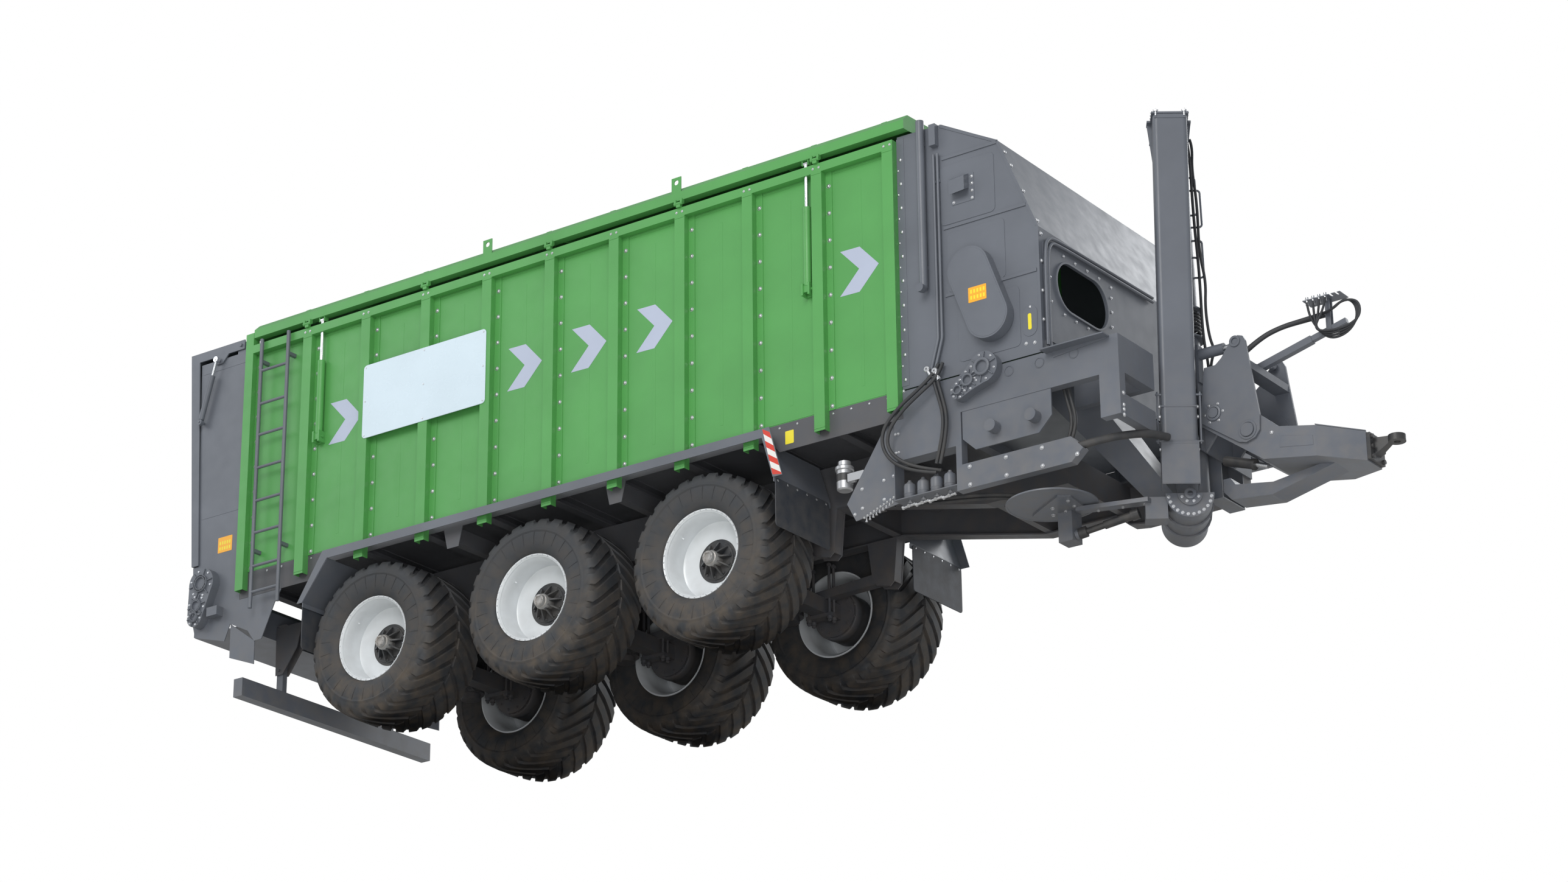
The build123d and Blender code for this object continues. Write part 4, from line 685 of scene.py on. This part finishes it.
def hydraulics():
    """Hoses, pipe fittings, accumulator bottles, filter and valve blocks of the right side."""
    hoses("side_hoses", [
        [(5636, -1240, 1690), (5610, -1268, 1610), (5470, -1290, 1500), (5300, -1296, 1400),
         (5160, -1296, 1270), (5140, -1290, 1120), (5220, -1275, 980), (5400, -1230, 880),
         (5560, -1190, 850)],
        [(5672, -1240, 1690), (5650, -1268, 1580), (5500, -1296, 1470), (5340, -1300, 1370),
         (5210, -1300, 1240), (5190, -1294, 1110), (5270, -1275, 990), (5440, -1220, 900),
         (5600, -1180, 862)],
        [(5600, -1262, 1560), (5640, -1262, 1420), (5680, -1258, 1250), (5650, -1250, 1050),
         (5590, -1235, 900)],
        [(5640, -1262, 1540), (5675, -1262, 1410), (5712, -1258, 1240), (5682, -1250, 1050),
         (5625, -1235, 890)],
        [(6633, -1100, 1300), (6660, -1100, 1180), (6695, -1100, 1040), (6680, -1100, 930),
         (6636, -1100, 830)],
        [(6668, -1100, 1300), (6695, -1100, 1180), (6728, -1100, 1040), (6712, -1100, 930),
         (6668, -1100, 830)],
        [(5200, -1000, 760), (5500, -960, 730), (5900, -900, 690), (6100, -860, 640)],
        [(5200, -970, 740), (5500, -930, 712), (5900, -870, 672), (6100, -830, 622)]],
        14, RUBBER, "wagon")
    hoses("auger_feed_hose", [[(6770, -1180, 770), (6900, -1130, 800), (7060, -1000, 850),
                               (7180, -800, 900), (7230, -640, 905)]], 30, RUBBER, "wagon")
    metal = Kit()
    for x, z in ((5546, 1662), (5615, 1632)):
        metal.lathe([(6, 0), (20, 0), (25, 6), (25, 30), (20, 36), (6, 36)], (x, -1240, z), (0, -1, 0), 28)
        metal.rod((x + 10, -1262, z - 20), (x + 34, -1262, z - 66), 12)
        metal.rod((x + 30, -1262, z - 60), (x + 38, -1262, z - 80), 17, count=6)
    for x in BOTTLES_X:
        metal.rod((x, -1145, 706), (x, -1145, 664), 11)
        metal.rod((x, -1145, 690), (x, -1145, 678), 19, count=6)
        metal.rod((x - 46, -1160, 650), (x + 40, -1150, 664), 10)
        metal.rod((x - 60, -1163, 648), (x - 44, -1160, 651), 16)
        metal.rod((x + 38, -1150, 663), (x + 52, -1148, 666), 14)
        metal.rod((x, -1150, 672), (x, -1170, 650), 14)
    for k in range(10):
        x, z = 4895 + 30 * k, 628 + 11.5 * k
        metal.rod((x, -1146, z + 30), (x, -1146, z), 6, count=10)
        metal.rod((x, -1146, z), (x, -1146, z - 10), 10, count=6)
        metal.rod((x, -1150, z + 22), (x, -1174, z + 16), 6, count=10)
        metal.rod((x, -1172, z + 17), (x, -1182, z + 14), 9, count=10)
    for x, z in ((4860, 735), (4860, 890), (5060, 760), (5060, 915), (5150, 930), (4790, 700)):
        metal.dome((x, -1150, z), (0, -1, 0), 11, 8)
    metal.done("hydraulic_fittings", ZINC, "wagon", bevel=0.8)
    bottles = Kit()
    for x in BOTTLES_X:
        bottles.lathe([(0.5, 708), (40, 708), (46, 716), (47, 760), (47, 812), (42, 826), (26, 834),
                       (24, 842), (15, 844), (14, 858), (0.5, 858)], (x, -1145, 0), (0, 0, 1), 36)
        bottles.lathe([(46, 745), (48.5, 747), (48.5, 753), (46, 755)], (x, -1145, 0), (0, 0, 1), 36)
    bottles.done("accumulator_bottles", GREY, "wagon", nodes=("accumulators",), slot="black_steel")
    can = Kit()
    can.lathe([(0.5, 940), (50, 940), (62, 950), (63, 1000), (63, 1098), (66, 1100), (74, 1104), (74, 1128),
               (68, 1134), (52, 1138), (50, 1176), (0.5, 1178)], (4659, -1085, 0), (0, 0, 1), 48)
    can.box(4712, 4870, -1141, -1128, 985, 1050)
    can.box(4712, 4722, -1141, -1060, 985, 1050)
    can.rod((4700, -1085, 1010), (4760, -1085, 1010), 18)
    can.done("filter_canister", ALUMINIUM, "wagon", bevel=1.5, nodes=("hydraulic_filter",))
    tags = Kit()
    tags.lathe([(63.2, 1010), (64.2, 1010), (64.2, 1070), (63.2, 1070)], (4659, -1085, 0), (0, 0, 1), 48)
    tags.done("filter_band", BLACK, "wagon")
    blocks = Kit()
    for k, x in enumerate((4905, 4985, 5065, 5145)):
        z = 690 + 14 * k
        blocks.box(x - 34, x + 34, -1148, -1050, z, z + 70)
        blocks.rod((x, -1098, z + 70), (x, -1098, z + 110), 20)
    blocks.done("valve_blocks", BLACK, "wagon", bevel=3)


def mudguard_details():
    """Slanted stripes on the front struts, bolts, and the hanging rubber flaps."""
    rear_edge, front_edge = ((4056, 1520), (4154, 1108)), ((4114, 1520), (4234, 1108))
    for name, color, first in (("red_stripes", RED, 0), ("white_stripes", WHITE, 1)):
        stripes = Kit()
        for k in range(first, 7, 2):
            a, b = k / 7, (k + 1) / 7
            stripes.side([lined(*rear_edge, max(a - 0.04, 0)), lined(*front_edge, min(a + 0.1, 1)),
                          lined(*front_edge, min(b + 0.1, 1)), lined(*rear_edge, max(b - 0.04, 0))],
                         -1319, -1320.05)
        stripes.mirror()
        stripes.done(name, color, "wagon")
    bolts = Kit()
    for k in range(6):
        y = -1270 + 128 * k
        bolts.dome((4160, y, 1086), (1, 0, 0), 12, 9)
        bolts.dome((-712, y, 1086), (-1, 0, 0), 12, 9)
    for x in range(-350, 4000, 336):
        bolts.dome((x, -1320 + 7, 1500), (0, -1, 0), 6, 4)
    bolts.mirror()
    bolts.done("mudguard_bolts", ZINC, "wagon", angle=50)
    flaps = Kit()
    for x in (-720, 4160):
        flaps.prism([(x, y, z) for y, z in rounded(-1305, -585, 712, 1104, 30, 4)], (8, 0, 0))
    flaps.mirror()
    flaps.done("rubber_flaps", FLAP, "wagon", bevel=2, nodes=("mud_flaps",))


def running_gear_details():
    """Axle nuts, brake gear and air springs of the three axles."""
    for axle_name, x in AXLES.items():
        body = f"{axle_name}_axle_body"
        nuts = Kit()
        for px in (-100, 100):
            for py in (388, 452):
                nuts.rod((x + px, -py, 560), (x + px, -py, 584), 22, count=6)
                nuts.rod((x + px, -py, 545), (x + px, -py, 560), 17, count=6)
                nuts.rod((x + px, -py, 1008), (x + px, -py, 1030), 22, count=6)
        for k in range(10):
            t = 2 * math.pi * k / 10
            nuts.hexagon((x + 160 * math.cos(t), -600, HUB_Z + 160 * math.sin(t)), (0, 1, 0), 10, 9)
        nuts.mirror()
        nuts.done(f"{axle_name}_axle_nuts", FRAME_GREY, body, slot="grey_paint")
        gear = Kit()
        gear.lathe([(0.5, 0), (60, 0), (74, 10), (76, 60), (82, 64), (82, 74), (76, 78), (74, 130),
                    (56, 150), (0.5, 150)], (x - 190, -250, 700), (1, 0, 0), 32)
        gear.rod((x - 40, -250, 700), (x + 20, -250, 700), 10)
        gear.box(x + 8, x + 26, -262, -238, 640, 716)
        gear.rod((x + 17, -560, 650), (x + 17, -230, 650), 18)
        gear.box(x - 70, x - 60, -310, -190, 620, 790)
        gear.mirror()
        gear.done(f"{axle_name}_brake_gear", BLACK, body, bevel=1.5)
        spring = Kit()
        profile = [(0.5, 736), (72, 736), (80, 744), (82, 780), (78, 830), (82, 858), (96, 846), (108, 858),
                   (113, 890), (114, 940), (113, 1000), (110, 1040), (102, 1066), (86, 1078), (70, 1082),
                   (70, 1094), (0.5, 1094)]
        for sign in (-1, 1):
            spring.lathe(profile, (x - 320, sign * 420, 0), (0, 0, 1), 40)
        air_spring(spring, axle_name)


def air_spring(kit, axle_name):
    """Pair of rolling-lobe bellows between chassis and arm."""
    obj = kit.made(f"{axle_name}_rolling_lobes", RUBBER, 50)
    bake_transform(obj)
    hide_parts(f"{axle_name}_air_springs")


def column_details():
    """Latch rods, flange bolts, spout hems and hoses of the folded tube and the lift tube."""
    parts = Kit(COLUMN)
    for u in (-1, 1):
        parts.box(u * 130, u * 134, 40, 110, 335, 740)
        for z in (350, 720):
            parts.rod((u * 120, 30, z), (u * 172, 30, z), 8)
            parts.rod((u * 158, 30, z - 8), (u * 158, 30, z + 8), 12)
        parts.rod((u * 158, 30, 330), (u * 158, 30, 742), 7)
    parts.box(-128, 128, -3, 3, 336, 348)
    parts.box(-134, 134, -4, 2, 612, 622)
    parts.box(-120, 120, -5, 1, 2985, 3018)
    parts.done("tube_latch_rods", GREY, "folding_tube", bevel=1.5)
    bolts = Kit(COLUMN)
    for u in (-1, 1):
        for z in (300, 560, 640):
            bolts.hexagon((u * 134, 70, z), (u, 0, 0), 13, 10)
        bolts.rod((u * 108, -8, 3000), (u * 108, -8, 3058), 8, count=12)
        bolts.rod((u * 108, -8, 3035), (u * 108, -8, 3049), 17, count=6)
        bolts.rod((u * 88, -8, 3046), (u * 128, -8, 3046), 6, count=10)
        for v in (20, 70, 120):
            bolts.hexagon((u * 138, v, 3036), (0, 0, 1), 7, 4)
    bolts.done("tube_flange_bolts", ZINC, "folding_tube")
    spout = Kit(COLUMN)
    spout.box(-139, 139, -19, -15, 6, 18)
    spout.box(-139, 139, -19, -15, 316, 328)
    for u in (-1, 1):
        spout.lathe([(14, 0), (34, 0), (34, 6), (14, 6)], (u * 139, 110, 380), (u, 0, 0), 24)
    spout.done("spout_hems", GREY, "spout", bevel=1.5)
    coil = []
    for k in range(12 * 6 + 1):
        t = 2 * math.pi * k / 12
        point = LIFT @ Vector((139 * math.cos(t), 139 * math.sin(t), 1330 + 180 * k / 72))
        coil.append(tuple(point))
    hoses("coiled_hose", [coil], 11, RUBBER, "wagon")
    outer = [(150, -70, 2960), (168, -74, 2900), (150, -80, 2700), (172, -84, 2400), (160, -80, 2000),
             (196, -84, 1760), (176, -80, 1540), (190, -90, 1300), (220, -120, 1180), (180, -100, 1050),
             (170, -80, 800), (190, -60, 560)]
    inner = [(120, -100, 2960), (140, -100, 2880), (134, -104, 2300), (150, -108, 1800), (140, -106, 1300),
             (176, -110, 1000), (170, -80, 700)]
    hoses("column_hose", [[tuple(LIFT @ Vector(p)) for p in route] for route in (outer, inner)],
          11, RUBBER, "wagon")


def boot_details():
    """Bolts and bands of the auger boot, and the drive disc beside it."""
    bolts = Kit(BOOT)
    for k in range(12):
        t = math.radians(180 + 180 * (k + 0.5) / 12)
        bolts.hexagon((158 * math.cos(t), 0, 158 * math.sin(t)), (0, -1, 0), 10, 8)
    for k in range(8):
        t = math.radians(45 * k + 22)
        if math.sin(t) < 0:
            bolts.hexagon((66 * math.cos(t), -14, 66 * math.sin(t)), (0, -1, 0), 9, 8)
    for v in range(60, 640, 90):
        for u in (-166, 166):
            bolts.hexagon((u, v, 8), (0, 0, 1), 8, 6)
    bolts.done("boot_bolts", ZINC, "wagon")
    parts = Kit(BOOT)
    parts.lathe([(20, 0), (44, 0), (44, 10), (36, 14), (20, 14)], (0, -14, -2), (0, -1, 0), 32)
    turns = [math.radians(180 + 15 * k) for k in range(13)]
    for v in (200, 420):
        outline = [(176 * math.cos(t), 176 * math.sin(t)) for t in turns]
        outline += [(190 * math.cos(t), 190 * math.sin(t)) for t in reversed(turns)]
        parts.prism([(u, v, z) for u, z in outline], (0, 8, 0))
    parts.done("boot_bands", GREY, "wagon", bevel=1.5)
    disc = Kit()
    disc.lathe([(330, 513), (346, 513), (346, 526), (330, 526)], (6340, -840, 0), (0, 0, 1), 72)
    disc.lathe([(0.5, 524), (70, 524), (76, 532), (70, 540), (0.5, 540)], (6340, -840, 0), (0, 0, 1), 36)
    disc.done("disc_rim", GREY, "wagon", bevel=1.5)
    pins = Kit()
    for x, y in ((6261, -697), (6372, -701), (6300, -620), (6400, -620), (6480, -760), (6500, -880),
                 (6330, -820)):
        pins.hexagon((x, y, 502), (0, 0, -1), 13, 10)
    for x, y in ((6620, -650), (6800, -600), (6960, -560)):
        pins.hexagon((x, y, 470), (0, 0, -1), 10, 8)
    pins.done("disc_bolts", ZINC, "wagon")


def drawbar_details():
    """Pin bosses, beam edges, levelling ram, hose bundle and coupling loops of the drawbar."""
    parts = Kit()
    for sign in (-1, 1):
        out = sign * 320
        parts.lathe([(44, 0), (62, 0), (62, 10), (56, 14), (44, 14)], (7446, out, 1147), (0, sign, 0), 36)
        parts.lathe([(58, 0), (74, 0), (74, 6), (58, 6)], (7716, out, 950), (0, sign, 0), 36)
        parts.lathe([(26, 0), (44, 0), (44, 10), (26, 10)], (7655, out, 1670), (0, sign, 0), 28)
        parts.side([(7960, 760), (8230, 715), (8230, 790), (7980, 845)], sign * 300, sign * 303)
        parts.prism([(8250, sign * 300, 868), (8560, sign * 115, 803), (8560, sign * 101, 803),
                     (8250, sign * 286, 868)], (0, 0, 8))
    parts.prism([(8235, -200, 866), (8235, 200, 866), (8545, 90, 801), (8545, -90, 801)], (2, 0, 10))
    parts.done("drawbar_bosses", GREY, "drawbar", bevel=2)
    bolts = Kit()
    for sign in (-1, 1):
        for k in range(6):
            t = math.radians(60 * k)
            spot = (7446 + 76 * math.cos(t), sign * 320, 1147 + 76 * math.sin(t))
            bolts.hexagon(spot, (0, sign, 0), 8, 6)
        for x in (7700, 7800, 7900):
            bolts.dome((x, sign * 300, 1000 - (x - 7700) * 0.55), (0, sign, 0), 10, 8)
    bolts.done("drawbar_bolts", ZINC, "drawbar")
    cylinder = Kit()
    start, end = (7427, -150, 825), (7800, -150, 695)
    cylinder.rod(start, lined(start, end, 0.66), 38, count=32)
    cylinder.rod(lined(start, end, 0.62), lined(start, end, 0.68), 44, count=32)
    cylinder.done("drawbar_ram_barrel", BLACK, "drawbar", bevel=2)
    rod = Kit()
    rod.rod(lined(start, end, 0.66), lined(start, end, 0.95), 20, count=24)
    rod.done("drawbar_ram_rod", CHROME, "drawbar")
    hoses("hose_bundle", [[(7620, -130 + 6 * k, 1640 + 8 * k), (7740, -100 + 8 * k, 1740 + 6 * k),
                           (7900, -50, 1812), (8080, -10 + 4 * k, 1838), (8250, 0, 1850 - 6 * k)]
                          for k in range(3)], 19, RUBBER, "drawbar", nodes=("hydraulic_hoses",))
    loops = []
    for n in range(4):
        x, y = 8136 + 50 * n, -62 - 14 * n
        reach = 8540 + 16 * n
        loops.append([(8240, -6 * n, 1860 - 5 * n), (8330, y, 1830 - 8 * n), (8450, y - 10, 1900 - 10 * n),
                      (reach, y - 20, 1830), (reach + 10, y - 24, 1700),
                      (8460 + 10 * n, y - 20, 1610 + 12 * n), (8320, y - 12, 1600 + 16 * n),
                      (8220 - 8 * n, y - 6, 1700), (x + 4, y + 8, 1850), (x, -58, 1948)])
    hoses("coupling_loops", loops, 9, RUBBER, "drawbar")
    ends = Kit()
    for n in range(4):
        x = 8136 + 50 * n
        ends.rod((x, -52, 1925), (x, -52, 1990), 13, count=20)
        ends.rod((x, -52, 1962), (x, -52, 1976), 18, count=6)
    ends.done("hose_couplings", ZINC, "drawbar", bevel=1)


def rear_details():
    """Folded ribs and latches of the tailgate."""
    ribs = Kit()
    for y in (-900, -300, 300, 900):
        for edge, fold, top in ((-35, -25, -35), (25, 25, 35)):
            ribs.prism([(-2121, y + edge, 1790), (-2143, y + fold, 1810), (-2240, y + fold, 3300),
                        (-2222, y + top, 3340)], (0, 10, 0))
        ribs.prism([(-2139, y - 26, 1800), (-2145, y - 26, 1800), (-2244, y - 26, 3300),
                    (-2238, y - 26, 3300)], (0, 60, 0))
    for z in (1830, 2560, 3330):
        x = -2121 - 0.0668 * (z - 1755)
        ribs.box(x - 14, x + 4, -1200, 1200, z, z + 60)
    ribs.done("tailgate_ribs", GREY, "rear_door", bevel=2)
    latch = Kit()
    for sign in (-1, 1):
        latch.rod((-2128, sign * 1100, 1790), (-2150, sign * 1100, 1700), 16)
        latch.box(-2160, -2110, sign * 1070, sign * 1130, 1756, 1790)
    latch.done("tailgate_latches", ZINC, "rear_door", bevel=2)


body_details()
lid_details()
hopper_details()
gearbox_details()
hydraulics()
mudguard_details()
running_gear_details()
column_details()
boot_details()
drawbar_details()
rear_details()


# Camera, light, floor
def camera():
    """The photo's camera: low at the right front, looking up."""
    level = math.cos(CAMERA_ELEVATION)
    back = Vector((math.sin(CAMERA_AZIMUTH) * level, -math.cos(CAMERA_AZIMUTH) * level,
                   math.sin(CAMERA_ELEVATION)))
    right = Vector((math.cos(CAMERA_AZIMUTH), math.sin(CAMERA_AZIMUTH), 0))
    up = right.cross(-back)
    turned_right = right * math.cos(CAMERA_ROLL) + up * math.sin(CAMERA_ROLL)
    turned_up = up * math.cos(CAMERA_ROLL) - right * math.sin(CAMERA_ROLL)
    data = bpy.data.cameras.new("camera")
    data.sensor_width = SENSOR
    data.lens = LENS
    data.clip_end = 300
    obj = shown("camera", data)
    turn = Matrix((turned_right, turned_up, back)).transposed().to_4x4()
    obj.matrix_world = Matrix.Translation(CAMERA_PLACE) @ turn
    bpy.context.scene.camera = obj


def floor():
    """Pale floor, seen from above only: a low camera and the low light look through it."""
    mesh = bpy.data.meshes.new("floor")
    corners = [(x * FLOOR_HALF, y * FLOOR_HALF, 0) for x, y in ((-1, -1), (1, -1), (1, 1), (-1, 1))]
    mesh.from_pydata(corners, [], [(0, 1, 2, 3)])
    material = bpy.data.materials.new("floor")
    material.use_nodes = True
    nodes, links = material.node_tree.nodes, material.node_tree.links
    shader = nodes["Principled BSDF"]
    shader.inputs["Base Color"].default_value = (0.74, 0.72, 0.69, 1)
    shader.inputs["Roughness"].default_value = 0.9
    mixer = nodes.new("ShaderNodeMixShader")
    clear = nodes.new("ShaderNodeBsdfTransparent")
    side = nodes.new("ShaderNodeNewGeometry")
    path = nodes.new("ShaderNodeLightPath")
    either = nodes.new("ShaderNodeMath")
    either.operation = "MAXIMUM"
    links.new(side.outputs["Backfacing"], either.inputs[0])
    links.new(path.outputs["Is Shadow Ray"], either.inputs[1])
    links.new(either.outputs["Value"], mixer.inputs["Fac"])
    links.new(shader.outputs["BSDF"], mixer.inputs[1])
    links.new(clear.outputs["BSDF"], mixer.inputs[2])
    links.new(mixer.outputs["Shader"], nodes["Material Output"].inputs["Surface"])
    mesh.materials.append(material)
    shown("floor", mesh)


def area_light(name, place, target, size, power, color):
    data = bpy.data.lights.new(name, "AREA")
    data.size = size
    data.energy = power
    data.color = color
    obj = shown(name, data)
    obj.location = place
    obj.rotation_mode = "QUATERNION"
    obj.rotation_quaternion = (Vector(target) - Vector(place)).to_track_quat("-Z", "Y")


def world():
    """Even studio light, with a plain white backdrop for the camera."""
    scene = bpy.context.scene
    sky = bpy.data.worlds.new("studio")
    scene.world = sky
    sky.use_nodes = True
    nodes, links = sky.node_tree.nodes, sky.node_tree.links
    background = nodes["Background"]
    background.inputs["Color"].default_value = (0.93, 0.96, 1.0, 1)
    background.inputs["Strength"].default_value = 0.52
    white = nodes.new("ShaderNodeBackground")
    white.inputs["Color"].default_value = (1, 1, 1, 1)
    white.inputs["Strength"].default_value = 1.0
    path = nodes.new("ShaderNodeLightPath")
    mixer = nodes.new("ShaderNodeMixShader")
    links.new(path.outputs["Is Camera Ray"], mixer.inputs["Fac"])
    links.new(background.outputs["Background"], mixer.inputs[1])
    links.new(white.outputs["Background"], mixer.inputs[2])
    links.new(mixer.outputs["Shader"], nodes["World Output"].inputs["Surface"])
    scene.view_settings.view_transform = "Standard"


camera()
floor()
world()
area_light("key", (5, -17, 10), (0, 0, 2), 9, 1500, (1.0, 0.98, 0.95))
area_light("low_fill", (11, -15, -6), (1, 0, 1.5), 7, 950, (0.97, 0.98, 1.0))
area_light("rear_fill", (-12, -8, 9), (0, 0, 2), 9, 350, (0.94, 0.97, 1.0))
area_light("far_fill", (4, 16, 10), (0, 0, 2), 9, 1100, (0.96, 0.98, 1.0))
